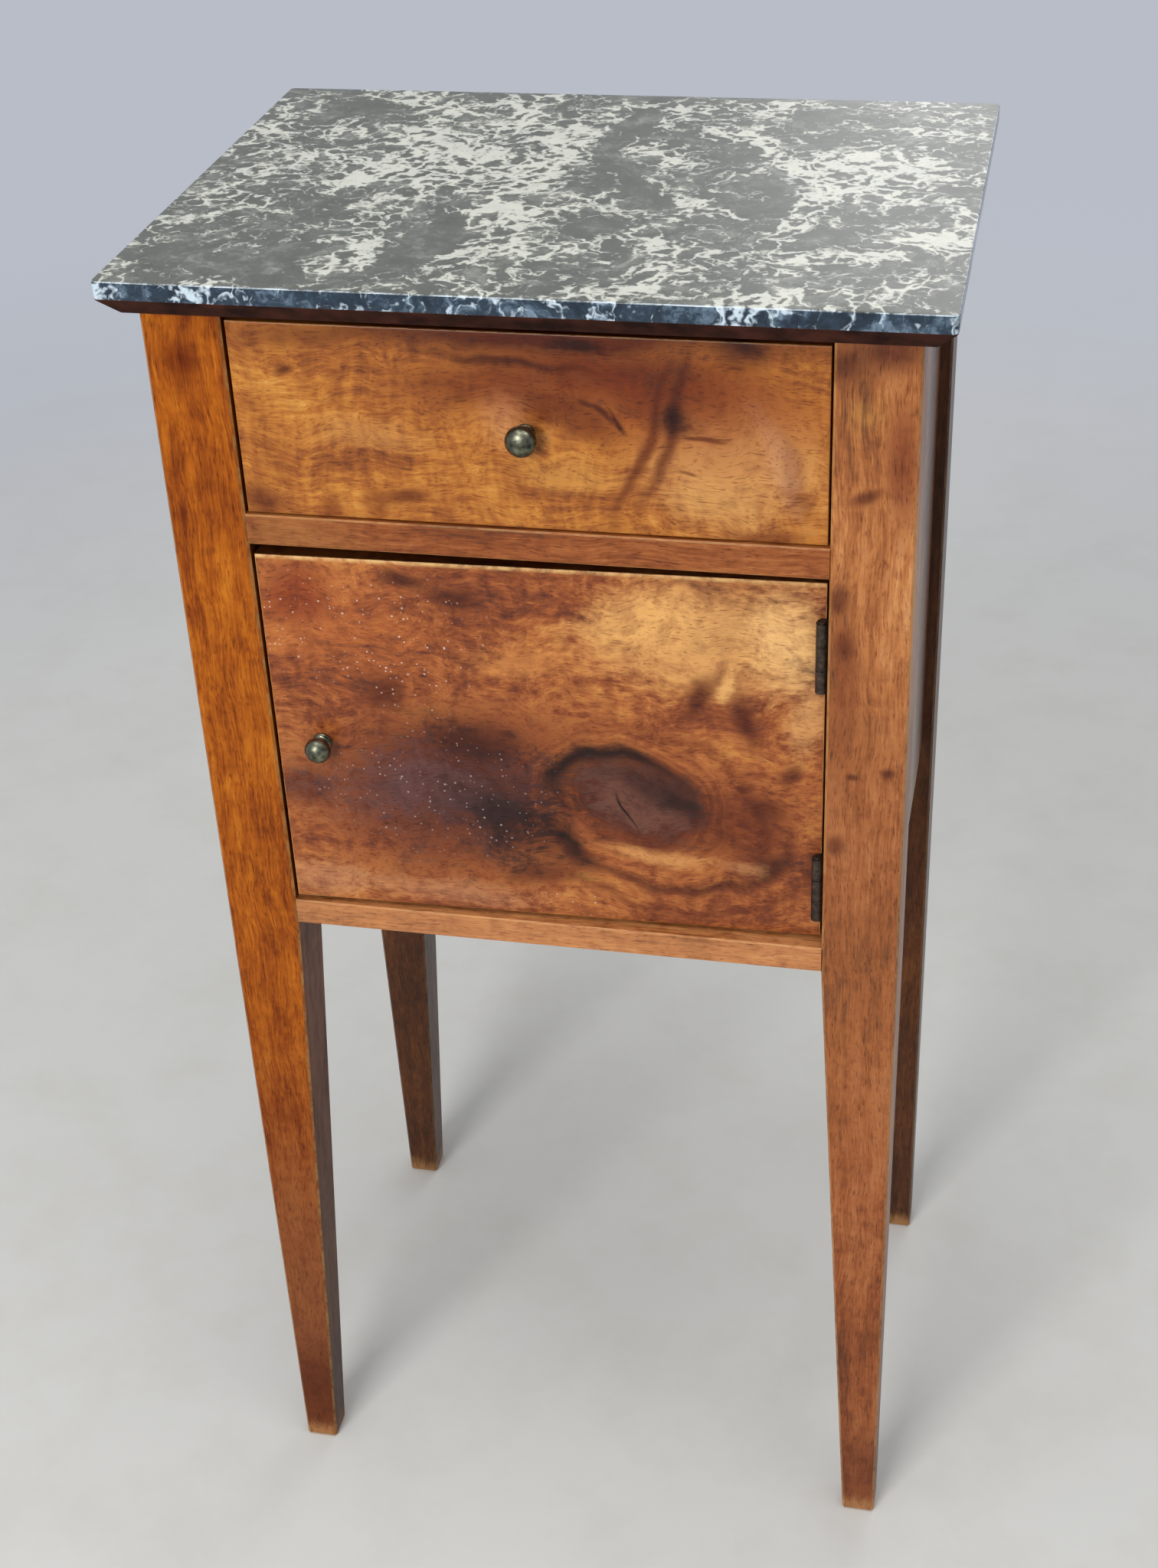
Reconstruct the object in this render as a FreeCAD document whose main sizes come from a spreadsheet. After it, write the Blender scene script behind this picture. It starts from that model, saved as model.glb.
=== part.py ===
import FreeCAD, Part
import math
import os
import re

import Sketcher

# Nightstand: a walnut case on four tapered legs, with a marble top, a dovetailed drawer and a hinged door.
# The frame stands on the floor under the middle of the top: +X right, +Y back, +Z up, in millimetres.

# Driving sizes, lengths in millimetres and angles in degrees
SIZES = {
    # Case and legs
    "carcass_width": 360.0,
    "carcass_depth": 268.0,
    "post_size": 39.0,
    "post_arris": 1.2,
    "foot_size": 19.0,
    "foot_bevel": 1.5,
    "leg_length": 410.0,
    "bottom_rail_height": 15.0,
    "door_opening_height": 213.0,
    "drawer_rail_height": 16.0,
    "drawer_opening_height": 102.5,
    # Marble top
    "top_overhang": 15.0,
    "top_thickness": 18.5,
    "top_bevel": 9.5,
    "top_arris": 1.0,
    # Side panels, back boards and floor
    "side_thickness": 16.0,
    "side_recess": 6.5,
    "tongue_thickness": 7.0,
    "tongue_length": 9.0,
    "back_thickness": 9.0,
    "back_recess": 7.0,
    "back_lap": 7.0,
    "floor_thickness": 12.0,
    "floor_housing": 5.0,
    # Rails
    "rail_arris": 0.8,
    "tenon_thickness": 7.0,
    "tenon_width": 22.0,
    "tenon_length": 20.0,
    # Drawer run
    "runner_width": 30.0,
    "runner_height": 14.0,
    "guide_height": 22.0,
    "kicker_height": 6.0,
    "stop_height": 5.0,
    "stop_depth": 11.0,
    "stop_length": 30.0,
    "stop_spacing": 140.0,
    # Drawer
    "drawer_recess": 2.0,
    "drawer_side_gap": 1.2,
    "drawer_top_gap": 4.5,
    "drawer_bottom_gap": 0.6,
    "drawer_end_gap": 10.0,
    "drawer_front_thickness": 17.0,
    "drawer_side_thickness": 9.0,
    "drawer_side_drop": 4.0,
    "drawer_back_thickness": 9.0,
    "drawer_back_drop": 5.0,
    "drawer_bottom_thickness": 5.0,
    "drawer_bottom_rise": 8.0,
    "drawer_groove": 4.0,
    "dovetail_lap": 5.0,
    "dovetail_flare": 1.8,
    "dovetail_pin": 6.0,
    "front_arris": 0.8,
    # Door
    "door_recess": 8.0,
    "door_thickness": 18.0,
    "door_hinge_gap": 1.6,
    "door_free_gap": 1.4,
    "door_bottom_gap": 2.5,
    "door_top_gap": 6.0,
    "door_ajar": 1.3,
    "door_stop_width": 10.0,
    "door_stop_depth": 11.0,
    # Hinges
    "hinge_length": 38.0,
    "upper_hinge_drop": 38.0,
    "lower_hinge_rise": 32.0,
    "leaf_width": 17.0,
    "leaf_thickness": 1.3,
    "barrel_radius": 3.0,
    "barrel_gap": 0.3,
    "knuckle_gap": 0.3,
    "pin_radius": 1.5,
    "pin_clearance": 0.05,
    "pin_head_radius": 2.3,
    "pin_head_height": 1.0,
    "screw_head_radius": 2.6,
    "screw_radius": 1.3,
    "screw_length": 13.0,
    "screw_spread": 22.0,
    "screw_slot_width": 0.8,
    "screw_slot_depth": 0.7,
    # Knobs
    "drawer_knob_radius": 7.6,
    "door_knob_radius": 6.8,
    "door_knob_inset": 24.0,
    "door_knob_drop": 3.3,
    "knob_projection": 15.0,
    "knob_head_depth": 10.5,
    "knob_neck_radius": 3.0,
    "knob_rose_radius": 4.8,
    "knob_rose_thickness": 1.6,
    "stud_radius": 2.0,
    "nut_radius": 5.5,
    "nut_height": 3.0,
    "stud_end": 1.5,
    # Clearances
    "joint_clearance": 0.1,
    "running_clearance": 0.3,
    "guide_clearance": 0.7,
}

BACK_BOARDS = ("back_board_lower", "back_board_middle", "back_board_upper")
HINGES = ("upper_hinge", "lower_hinge")
LEFT = -1
RIGHT = 1
FRONT = -1
REAR = 1
FRONT_TAIL_COUNT = 3
BACK_TAIL_COUNT = 2
NUT_SIDES = 4

# Places that several pieces share, as formulas of the sizes
PLACES = {
    "half_width": "carcass_width / 2",
    "half_depth": "carcass_depth / 2",
    "case_height": "bottom_rail_height + door_opening_height + drawer_rail_height + drawer_opening_height",
    "case_top": "leg_length + case_height",
    "post_inner_x": "half_width - post_size",
    "post_inner_y": "half_depth - post_size",
    "side_outer": "half_width - side_recess",
    "side_inner": "side_outer - side_thickness",
    "tongue_outer": "side_outer - (side_thickness - tongue_thickness) / 2",
    "tongue_inner": "tongue_outer - tongue_thickness",
    "back_outer": "half_depth - back_recess",
    "back_inner": "back_outer - back_thickness",
    "board_height": f"case_height / {len(BACK_BOARDS)}",
    "floor_top": "leg_length + bottom_rail_height",
    "door_head": "floor_top + door_opening_height",
    "drawer_floor": "door_head + drawer_rail_height",
    "runner_inner": "side_inner - runner_width",
    "drawer_half": "post_inner_x - drawer_side_gap",
    "drawer_inner": "drawer_half - drawer_side_thickness",
    "front_face": "-half_depth + drawer_recess",
    "front_back": "front_face + drawer_front_thickness",
    "front_low": "drawer_floor + drawer_bottom_gap",
    "front_high": "case_top - drawer_top_gap",
    "drawer_end": "back_inner - drawer_end_gap",
    "drawer_back_face": "drawer_end - drawer_back_thickness",
    "side_low": "drawer_floor + running_clearance",
    "side_high": "front_high - drawer_side_drop",
    "groove_low": "side_low + drawer_bottom_rise",
    "groove_high": "groove_low + drawer_bottom_thickness + joint_clearance",
    "back_high": "side_high - drawer_back_drop",
    "barrel_reach": "barrel_radius + barrel_gap",
    "hinge_x": "post_inner_x - barrel_reach",
    "hinge_y": "-half_depth + door_recess - barrel_reach",
    "door_low": "floor_top + door_bottom_gap",
    "door_high": "door_head - door_top_gap",
    "door_back": "barrel_reach + door_thickness",
    "door_edge": "barrel_reach - door_hinge_gap",
    "door_free_edge": "door_free_gap - post_inner_x - hinge_x",
    "door_knob_x": "door_free_edge + door_knob_inset",
    "door_knob_z": "(door_low + door_high) / 2 - door_knob_drop",
    "leaf_start": "barrel_radius + knuckle_gap",
    "screw_line": "(leaf_start + leaf_width) / 2",
    "upper_hinge": "door_high - upper_hinge_drop",
    "lower_hinge": "door_low + lower_hinge_rise",
}

doc = FreeCAD.newDocument("nightstand")
sheet = doc.addObject("Spreadsheet::Sheet", "Sizes")
pieces = []


def fill_sheet():
    """Write every driving size into the sheet under its own alias."""
    for row, (name, value) in enumerate(SIZES.items(), start=1):
        sheet.set(f"A{row}", name)
        sheet.set(f"B{row}", str(value))
        sheet.setAlias(f"B{row}", name)
    doc.recompute()


def formula(text):
    """Turn a formula of size and place names into an expression on the sheet."""

    def cell(match):
        word = match.group()
        if word in PLACES:
            return "(" + formula(PLACES[word]) + ")"
        return "Sizes." + word

    return re.sub(r"[a-z][a-z_]+", cell, text)


def bind(thing, **formulas):
    """Bind properties of a document object to formulas."""
    for name, text in formulas.items():
        thing.setExpression(name, formula(text))


def place(thing, x="0", y="0", z="0"):
    """Bind the position of a document object."""
    for axis, text in zip("xyz", (x, y, z)):
        thing.setExpression("Placement.Base." + axis, formula(text))


def hang(thing, angle="0"):
    """Place a piece drawn about the hinge pins on their axis, turned by an angle."""
    place(thing, "hinge_x", "hinge_y")
    thing.setExpression("Placement.Rotation.Angle", formula(angle))


def keep(thing, label):
    """Name a finished piece, so that it is written out."""
    thing.Label = label
    pieces.append(thing)
    return thing


def new_body(label):
    """Start a piece that is built up from sketches."""
    return keep(doc.addObject("PartDesign::Body", label), label)


def new_sketch(body, plane, offset="0"):
    """Add a sketch on one of the body's own planes, moved along the plane's normal."""
    sketch = body.newObject("Sketcher::SketchObject", body.Label + "_sketch")
    support = next(item for item in body.Origin.OriginFeatures if item.Role == plane)
    sketch.AttachmentSupport = [(support, "")]
    sketch.MapMode = "FlatFace"
    bind(sketch, **{"AttachmentOffset.Base.z": offset})
    return sketch


def pin_point(sketch, item, point, start, corner):
    """Hold a point of a sketch at a corner given by two formulas."""
    for kind, value, text in zip(("DistanceX", "DistanceY"), start, corner):
        index = sketch.addConstraint(Sketcher.Constraint(kind, -1, 1, item, point, value))
        sketch.setExpression(f"Constraints[{index}]", formula(text))


def outline(sketch, corners):
    """Draw a closed straight-sided outline through corners given by formulas."""
    first = sketch.GeometryCount
    count = len(corners)
    ring = [(math.cos(2 * math.pi * i / count), math.sin(2 * math.pi * i / count)) for i in range(count)]
    for i in range(count):
        start = FreeCAD.Vector(*ring[i], 0)
        end = FreeCAD.Vector(*ring[(i + 1) % count], 0)
        sketch.addGeometry(Part.LineSegment(start, end))
    for i in range(count):
        following = first + (i + 1) % count
        sketch.addConstraint(Sketcher.Constraint("Coincident", first + i, 2, following, 1))
    for i, corner in enumerate(corners):
        pin_point(sketch, first + i, 1, ring[i], corner)


def rectangle(sketch, left, right, low, high):
    """Draw a rectangle between four formulas."""
    outline(sketch, [(left, low), (right, low), (right, high), (left, high)])


def circle(sketch, across, up, radius):
    """Draw a circle whose centre and radius are formulas."""
    index = sketch.addGeometry(Part.Circle(FreeCAD.Vector(1, 1, 0), FreeCAD.Vector(0, 0, 1), 1))
    pin_point(sketch, index, 3, (1, 1), (across, up))
    size = sketch.addConstraint(Sketcher.Constraint("Radius", index, 1.0))
    sketch.setExpression(f"Constraints[{size}]", formula(radius))


def pad(body, sketch, length, flip=False):
    """Add material from a sketch along its normal, or against it."""
    feature = body.newObject("PartDesign::Pad", body.Label + "_pad")
    feature.Profile = sketch
    feature.Reversed = flip
    bind(feature, Length=length)
    return feature


def pocket(body, sketch, depth, flip=False):
    """Cut a sketch against its normal, or along it."""
    feature = body.newObject("PartDesign::Pocket", body.Label + "_pocket")
    feature.Profile = sketch
    feature.Reversed = flip
    bind(feature, Length=depth)
    return feature


def round_front(body, base, radius):
    """Round the edges of the face that looks to the front."""
    doc.recompute()
    faces = base.Shape.Faces
    front = min(range(len(faces)), key=lambda i: faces[i].CenterOfMass.y)
    feature = body.newObject("PartDesign::Fillet", body.Label + "_fillet")
    feature.Base = (base, [f"Face{front + 1}"])
    bind(feature, Radius=radius)


def block(label, x, y, z, length, width, height):
    """Make a plain box from its low corner and its three lengths."""
    box = doc.addObject("Part::Box", label)
    place(box, x, y, z)
    bind(box, Length=length, Width=width, Height=height)
    return box


def rod(label, x, y, z, radius, height, axis=(0, 0, 1), end_radius=None):
    """Make a round bar, or a cone where it has another radius at its end, along an axis."""
    kind = "Part::Cylinder" if end_radius is None else "Part::Cone"
    bar = doc.addObject(kind, label)
    bar.Placement.Rotation = FreeCAD.Rotation(FreeCAD.Vector(0, 0, 1), FreeCAD.Vector(*axis))
    place(bar, x, y, z)
    bind(bar, Height=height)
    if end_radius is None:
        bind(bar, Radius=radius)
    else:
        bind(bar, Radius1=radius, Radius2=end_radius)
    return bar


def union(label, shapes):
    """Join shapes into one solid."""
    fused = doc.addObject("Part::MultiFuse", label)
    fused.Shapes = shapes
    return fused


def cut(label, base, tool):
    """Take one shape out of another."""
    result = doc.addObject("Part::Cut", label)
    result.Base = base
    result.Tool = tool
    return result


def group(label, shapes):
    """Keep equal pieces together as separate solids."""
    compound = doc.addObject("Part::Compound", label)
    compound.Links = shapes
    return compound


def low_side(side, near, far):
    """Low x of a piece that lies between two distances on one side of the middle."""
    return near if side == RIGHT else f"-({far})"


def post_section(side_x, side_y, inset, size):
    """Corners of a square with eased arrises, set in from the outer corner of a post."""
    low = inset
    low_eased = f"{inset} + post_arris"
    high_eased = f"{inset} + {size} - post_arris"
    high = f"{inset} + {size}"
    steps = [
        (low_eased, low),
        (high_eased, low),
        (high, low_eased),
        (high, high_eased),
        (high_eased, high),
        (low_eased, high),
        (low, high_eased),
        (low, low_eased),
    ]
    return [
        (f"{side_x} * (half_width - ({across}))", f"{side_y} * (half_depth - ({along}))")
        for across, along in steps
    ]


def cut_rail_mortises(body, side):
    """Cut the mortises of both rails into a front post."""
    sketch = new_sketch(body, "YZ_Plane", f"{side} * post_inner_x")
    front = "-half_depth + (post_size - tenon_width) / 2 - joint_clearance"
    rear = "-half_depth + (post_size + tenon_width) / 2 + joint_clearance"
    for rail_low, rail_height in (("leg_length", "bottom_rail_height"), ("door_head", "drawer_rail_height")):
        middle = f"{rail_low} + {rail_height} / 2"
        reach = "(tenon_thickness / 2 + joint_clearance)"
        rectangle(sketch, front, rear, f"{middle} - {reach}", f"{middle} + {reach}")
    pocket(body, sketch, "tenon_length + joint_clearance", flip=side == RIGHT)


def screw_heights(hinges=HINGES):
    """Heights of the screws in the leaves of hinges."""
    return [f"{hinge} + {way} * screw_spread / 2" for hinge in hinges for way in (-1, 1)]


def bore_pilots(body, face, line, flip=False):
    """Bore the pilot holes of the hinge screws into a face that looks along X."""
    sketch = new_sketch(body, "YZ_Plane", face)
    for height in screw_heights():
        circle(sketch, line, height, "screw_radius + joint_clearance")
    pocket(body, sketch, "screw_length + joint_clearance", flip)


def make_leg(label, side_x, side_y):
    """A post: square in the case, tapered on its two inner faces down to the foot."""
    body = new_body(label)
    section = new_sketch(body, "XY_Plane", "leg_length")
    outline(section, post_section(side_x, side_y, "0", "post_size"))
    pad(body, section, "case_height")

    foot = new_sketch(body, "XY_Plane", "foot_bevel")
    outline(foot, post_section(side_x, side_y, "0", "foot_size"))
    sole = new_sketch(body, "XY_Plane")
    outline(sole, post_section(side_x, side_y, "foot_bevel", "foot_size - 2 * foot_bevel"))
    taper = body.newObject("PartDesign::AdditiveLoft", label + "_taper")
    taper.Profile = section
    taper.Sections = [foot, sole]
    taper.Ruled = True

    groove = new_sketch(body, "XY_Plane", "case_top")
    rectangle(
        groove,
        f"{side_x} * (tongue_inner - joint_clearance)",
        f"{side_x} * (tongue_outer + joint_clearance)",
        f"{side_y} * post_inner_y",
        f"{side_y} * (post_inner_y + tongue_length + joint_clearance)",
    )
    pocket(body, groove, "case_height")

    if side_y == FRONT:
        cut_rail_mortises(body, side_x)
    else:
        slot = new_sketch(body, "XY_Plane", "case_top")
        rectangle(
            slot,
            f"{side_x} * post_inner_x",
            f"{side_x} * (post_inner_x + tongue_length + joint_clearance)",
            "back_inner - joint_clearance",
            "back_outer + joint_clearance",
        )
        pocket(body, slot, "case_height")
    if (side_x, side_y) == (RIGHT, FRONT):
        bore_pilots(body, "post_inner_x", "hinge_y + screw_line", flip=True)


def make_side_panel(label, side):
    """A side board with a tongue along each end grain edge and a housing for the floor."""
    body = new_body(label)
    plan = new_sketch(body, "XY_Plane", "leg_length")
    end = "post_inner_y + tongue_length"
    quarter = [
        ("side_outer", "post_inner_y"),
        ("tongue_outer", "post_inner_y"),
        ("tongue_outer", end),
        ("tongue_inner", end),
        ("tongue_inner", "post_inner_y"),
        ("side_inner", "post_inner_y"),
    ]
    rear_half = [(f"{side} * {across}", along) for across, along in quarter]
    front_half = [(f"{side} * {across}", f"-({along})") for across, along in reversed(quarter)]
    outline(plan, rear_half + front_half)
    pad(body, plan, "case_height")

    housing = new_sketch(body, "YZ_Plane", f"{side} * side_inner")
    rectangle(
        housing,
        "-post_inner_y",
        "post_inner_y",
        "floor_top - floor_thickness - joint_clearance",
        "floor_top + joint_clearance",
    )
    pocket(body, housing, "floor_housing + joint_clearance", flip=side == RIGHT)


def make_back_board(label, step):
    """A back board whose edges lap over its neighbours."""
    body = new_body(label)
    reach = "post_inner_x + tongue_length"
    profile = new_sketch(body, "YZ_Plane", f"-({reach})")
    low = f"leg_length + {step} * board_height"
    high = f"leg_length + {step + 1} * board_height"
    middle = "(back_inner + back_outer) / 2"
    foot = [("back_inner", low), ("back_outer", low)]
    if step > 0:
        rebate = f"{low} + back_lap + joint_clearance"
        inner = f"{middle} - joint_clearance"
        foot = [("back_inner", low), (inner, low), (inner, rebate), ("back_outer", rebate)]
    head = [("back_outer", high), ("back_inner", high)]
    if label != BACK_BOARDS[-1]:
        edge = f"{high} - joint_clearance"
        lap = f"{high} + back_lap"
        head = [("back_outer", lap), (middle, lap), (middle, edge), ("back_inner", edge)]
    outline(profile, foot + head)
    pad(body, profile, f"2 * ({reach})")


def make_rail(label, low, height):
    """A cross rail between the front posts, tenoned at both ends."""
    body = new_body(label)
    high = f"{low} + {height}"
    front = "-half_depth"
    eased_front = "-half_depth + rail_arris"
    rear = "-post_inner_y"
    profile = new_sketch(body, "YZ_Plane", "-post_inner_x")
    outline(
        profile,
        [
            (eased_front, low),
            (rear, low),
            (rear, high),
            (eased_front, high),
            (front, f"{high} - rail_arris"),
            (front, f"{low} + rail_arris"),
        ],
    )
    pad(body, profile, "2 * post_inner_x")
    reach = "post_inner_x + tenon_length"
    middle = f"{low} + {height} / 2"
    tenon = new_sketch(body, "YZ_Plane", f"-({reach})")
    rectangle(
        tenon,
        "-half_depth + (post_size - tenon_width) / 2",
        "-half_depth + (post_size + tenon_width) / 2",
        f"{middle} - tenon_thickness / 2",
        f"{middle} + tenon_thickness / 2",
    )
    pad(body, tenon, f"2 * ({reach})")


def make_floor():
    """The cupboard floor, notched around the rear posts."""
    body = new_body("cabinet_floor")
    plan = new_sketch(body, "XY_Plane", "floor_top")
    wide = "side_inner + floor_housing"
    narrow = "post_inner_x - joint_clearance"
    notch = "post_inner_y - joint_clearance"
    right = [(wide, "-post_inner_y"), (wide, notch), (narrow, notch), (narrow, "back_inner")]
    left = [(f"-({across})", along) for across, along in reversed(right)]
    outline(plan, right + left)
    pad(body, plan, "floor_thickness", flip=True)


def make_drawer_run(name, side):
    """What carries, guides and keeps down one side of the drawer, glued to the side panel."""
    length = "2 * post_inner_y"
    guide_face = "drawer_half + guide_clearance"
    inner = low_side(side, "runner_inner", "side_inner")
    runner_low = "drawer_floor - runner_height"
    kicker_low = "case_top - kicker_height"
    strips = {
        "runner": (inner, runner_low, "runner_width", "runner_height"),
        "guide": (
            low_side(side, guide_face, "side_inner"),
            "drawer_floor",
            f"side_inner - ({guide_face})",
            "guide_height",
        ),
        "kicker": (inner, kicker_low, "runner_width", "kicker_height"),
    }
    for kind, (x, z, width, height) in strips.items():
        label = f"{name}_{kind}"
        keep(block(label, x, "-post_inner_y", z, width, length, height), label)


def make_drawer_stops():
    """Two blocks on the drawer rail that the drawer front comes to rest against."""
    stops = []
    for side in (LEFT, RIGHT):
        x = f"{side} * stop_spacing / 2 - stop_length / 2"
        y = "front_back + running_clearance"
        stops.append(
            block("stop", x, y, "drawer_floor", "stop_length", "stop_depth", "stop_height")
        )
    keep(group("drawer_stops", stops), "drawer_stops")


def make_door_stop():
    """The strip on the left post that the closed door rests against."""
    y = "hinge_y + door_back + running_clearance"
    stop = block(
        "door_stop",
        "-post_inner_x",
        y,
        "floor_top",
        "door_stop_width",
        "door_stop_depth",
        "door_opening_height",
    )
    keep(stop, "door_stop")


def make_marble_top():
    """The marble slab, square at the back and bevelled under its other three edges."""
    body = new_body("marble_top")
    plan = new_sketch(body, "XY_Plane", "case_top")
    half_x = "half_width + top_overhang"
    half_y = "half_depth + top_overhang"
    rectangle(plan, f"-({half_x})", half_x, f"-({half_y})", half_y)
    slab = pad(body, plan, "top_thickness")
    doc.recompute()

    bounds = slab.Shape.BoundBox
    middles = [edge.CenterOfMass for edge in slab.Shape.Edges]
    under = [
        f"Edge{index}"
        for index, middle in enumerate(middles, start=1)
        if math.isclose(middle.z, bounds.ZMin) and not math.isclose(middle.y, bounds.YMax)
    ]
    bevel = body.newObject("PartDesign::Chamfer", "underside_bevel")
    bevel.Base = (slab, under)
    bind(bevel, Size="top_bevel")
    doc.recompute()

    faces = bevel.Shape.Faces
    top_face = max(range(len(faces)), key=lambda i: faces[i].CenterOfMass.z)
    arris = body.newObject("PartDesign::Fillet", "top_arris")
    arris.Base = (bevel, [f"Face{top_face + 1}"])
    bind(arris, Radius="top_arris")


def dovetails(sketch, tip, root, low, high, count, clearance):
    """Draw the tails between two heights: wide at their tip, narrow at their root."""
    pitch = f"(({high}) - ({low})) / {count}"
    for step in range(count):
        centre = f"{low} + {pitch} * {step + 0.5}"
        wide = f"({pitch} / 2 - dovetail_pin / 2 + {clearance})"
        narrow = f"({wide} - dovetail_flare)"
        outline(
            sketch,
            [
                (tip, f"{centre} - {wide}"),
                (root, f"{centre} - {narrow}"),
                (root, f"{centre} + {narrow}"),
                (tip, f"{centre} + {wide}"),
            ],
        )


def front_tails(sketch, clearance):
    """Tails that lap into the drawer front."""
    tip = f"front_face + dovetail_lap - {clearance}"
    dovetails(sketch, tip, "front_back", "side_low", "side_high", FRONT_TAIL_COUNT, clearance)


def back_tails(sketch, clearance):
    """Tails that pass through the drawer back."""
    low, high = "groove_high", "back_high"
    dovetails(sketch, "drawer_end", "drawer_back_face", low, high, BACK_TAIL_COUNT, clearance)


def cut_sockets(body, tails):
    """Cut the sockets for the tails of both sides into a board of the drawer."""
    for side in (LEFT, RIGHT):
        sketch = new_sketch(body, "YZ_Plane", f"{side} * drawer_half")
        tails(sketch, "joint_clearance")
        pocket(body, sketch, "drawer_side_thickness + joint_clearance", flip=side == LEFT)


def make_drawer_front():
    """The drawer front, with lapped dovetail sockets, a groove for the bottom and the stud's hole."""
    body = new_body("drawer_front")
    face = new_sketch(body, "XZ_Plane", "-(front_face)")
    rectangle(face, "-drawer_half", "drawer_half", "front_low", "front_high")
    board = pad(body, face, "drawer_front_thickness", flip=True)
    round_front(body, board, "front_arris")
    cut_sockets(body, front_tails)

    groove = new_sketch(body, "XZ_Plane", "-(front_back)")
    inner = "drawer_inner - joint_clearance"
    rectangle(groove, f"-({inner})", inner, "groove_low", "groove_high")
    pocket(body, groove, "drawer_groove + joint_clearance", flip=True)

    hole = new_sketch(body, "XZ_Plane", "-(front_face)")
    circle(hole, "0", "(front_low + front_high) / 2", "stud_radius + joint_clearance")
    pocket(body, hole, "drawer_front_thickness")


def make_drawer_side(label, side):
    """A drawer side with tails at both ends and a groove for the bottom."""
    body = new_body(label)
    outer = low_side(side, "drawer_inner", "drawer_half")
    profile = new_sketch(body, "YZ_Plane", outer)
    rectangle(profile, "front_back", "drawer_back_face", "side_low", "side_high")
    pad(body, profile, "drawer_side_thickness")
    for tails in (front_tails, back_tails):
        sketch = new_sketch(body, "YZ_Plane", outer)
        tails(sketch, "0")
        pad(body, sketch, "drawer_side_thickness")
    groove = new_sketch(body, "YZ_Plane", f"{side} * drawer_inner")
    start = "front_back - drawer_groove - joint_clearance"
    rectangle(groove, start, "drawer_back_face", "groove_low", "groove_high")
    pocket(body, groove, "drawer_groove + joint_clearance", flip=side == RIGHT)


def make_drawer_back():
    """The drawer back, which stands on the bottom, with sockets right through its ends."""
    body = new_body("drawer_back")
    face = new_sketch(body, "XZ_Plane", "-(drawer_back_face)")
    rectangle(face, "-drawer_half", "drawer_half", "groove_high", "back_high")
    pad(body, face, "drawer_back_thickness", flip=True)
    cut_sockets(body, back_tails)


def make_drawer_bottom():
    """The thin bottom, slid in from behind under the drawer back."""
    reach = "drawer_inner + drawer_groove"
    start = "front_back - drawer_groove"
    bottom = block(
        "drawer_bottom",
        f"-({reach})",
        start,
        "groove_low",
        f"2 * ({reach})",
        f"drawer_end - ({start})",
        "drawer_bottom_thickness",
    )
    keep(bottom, "drawer_bottom")


def make_knob(x, face, z, radius, thickness):
    """A turned knob with a rose, a neck, a flattened ball and a stud, and the square nut inside.

    Args:
        x, face, z: where its axis meets the face of the board, whose outer side looks along -Y.
        radius: radius of the ball.
        thickness: thickness of the board that the stud passes through.
    Returns:
        The knob and the nut.
    """
    outward = (0, -1, 0)
    inward = (0, 1, 0)
    rose = rod("rose", x, face, z, "knob_rose_radius", "knob_rose_thickness", outward, "knob_neck_radius")
    neck = rod("neck", x, face, z, "knob_neck_radius", "knob_projection - knob_head_depth / 2", outward)
    head = doc.addObject("Part::Ellipsoid", "head")
    head.Placement.Rotation = FreeCAD.Rotation(FreeCAD.Vector(0, 0, 1), FreeCAD.Vector(*outward))
    place(head, x, f"{face} - knob_projection + knob_head_depth / 2", z)
    bind(head, Radius1="knob_head_depth / 2", Radius2=radius, Radius3=radius)
    stud = rod("stud", x, face, z, "stud_radius", f"{thickness} + nut_height + stud_end", inward)
    knob = union("knob", [rose, neck, head, stud])

    prism = doc.addObject("Part::Prism", "prism")
    prism.Polygon = NUT_SIDES
    prism.Placement.Rotation = FreeCAD.Rotation(FreeCAD.Vector(0, 0, 1), FreeCAD.Vector(*inward))
    place(prism, x, f"{face} + {thickness}", z)
    bind(prism, Circumradius="nut_radius", Height="nut_height")
    bore = rod("bore", x, f"{face} + {thickness}", z, "stud_radius + pin_clearance", "nut_height", inward)
    return knob, cut("nut", prism, bore)


def make_drawer():
    """All pieces that slide with the drawer."""
    make_drawer_front()
    make_drawer_side("drawer_left_side", LEFT)
    make_drawer_side("drawer_right_side", RIGHT)
    make_drawer_back()
    make_drawer_bottom()
    knob, nut = make_knob(
        "0", "front_face", "(front_low + front_high) / 2", "drawer_knob_radius", "drawer_front_thickness"
    )
    keep(knob, "drawer_knob")
    keep(nut, "drawer_knob_nut")


def make_door_panel():
    """The door board, drawn about the hinge pins, with recesses for the leaves."""
    body = new_body("door_panel")
    face = new_sketch(body, "XZ_Plane", "-(barrel_reach)")
    rectangle(face, "door_free_edge", "door_edge", "door_low", "door_high")
    board = pad(body, face, "door_thickness", flip=True)
    round_front(body, board, "front_arris")

    recess = new_sketch(body, "YZ_Plane", "door_edge")
    for hinge in HINGES:
        reach = "(hinge_length / 2 + joint_clearance)"
        low = f"{hinge} - {reach}"
        high = f"{hinge} + {reach}"
        rectangle(recess, "0", "leaf_width + joint_clearance", low, high)
    pocket(body, recess, "leaf_thickness")

    bore_pilots(body, "door_edge - leaf_thickness", "screw_line")

    hole = new_sketch(body, "XZ_Plane", "-(barrel_reach)")
    circle(hole, "door_knob_x", "door_knob_z", "stud_radius + joint_clearance")
    pocket(body, hole, "door_thickness")
    hang(body, "door_ajar")


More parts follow.
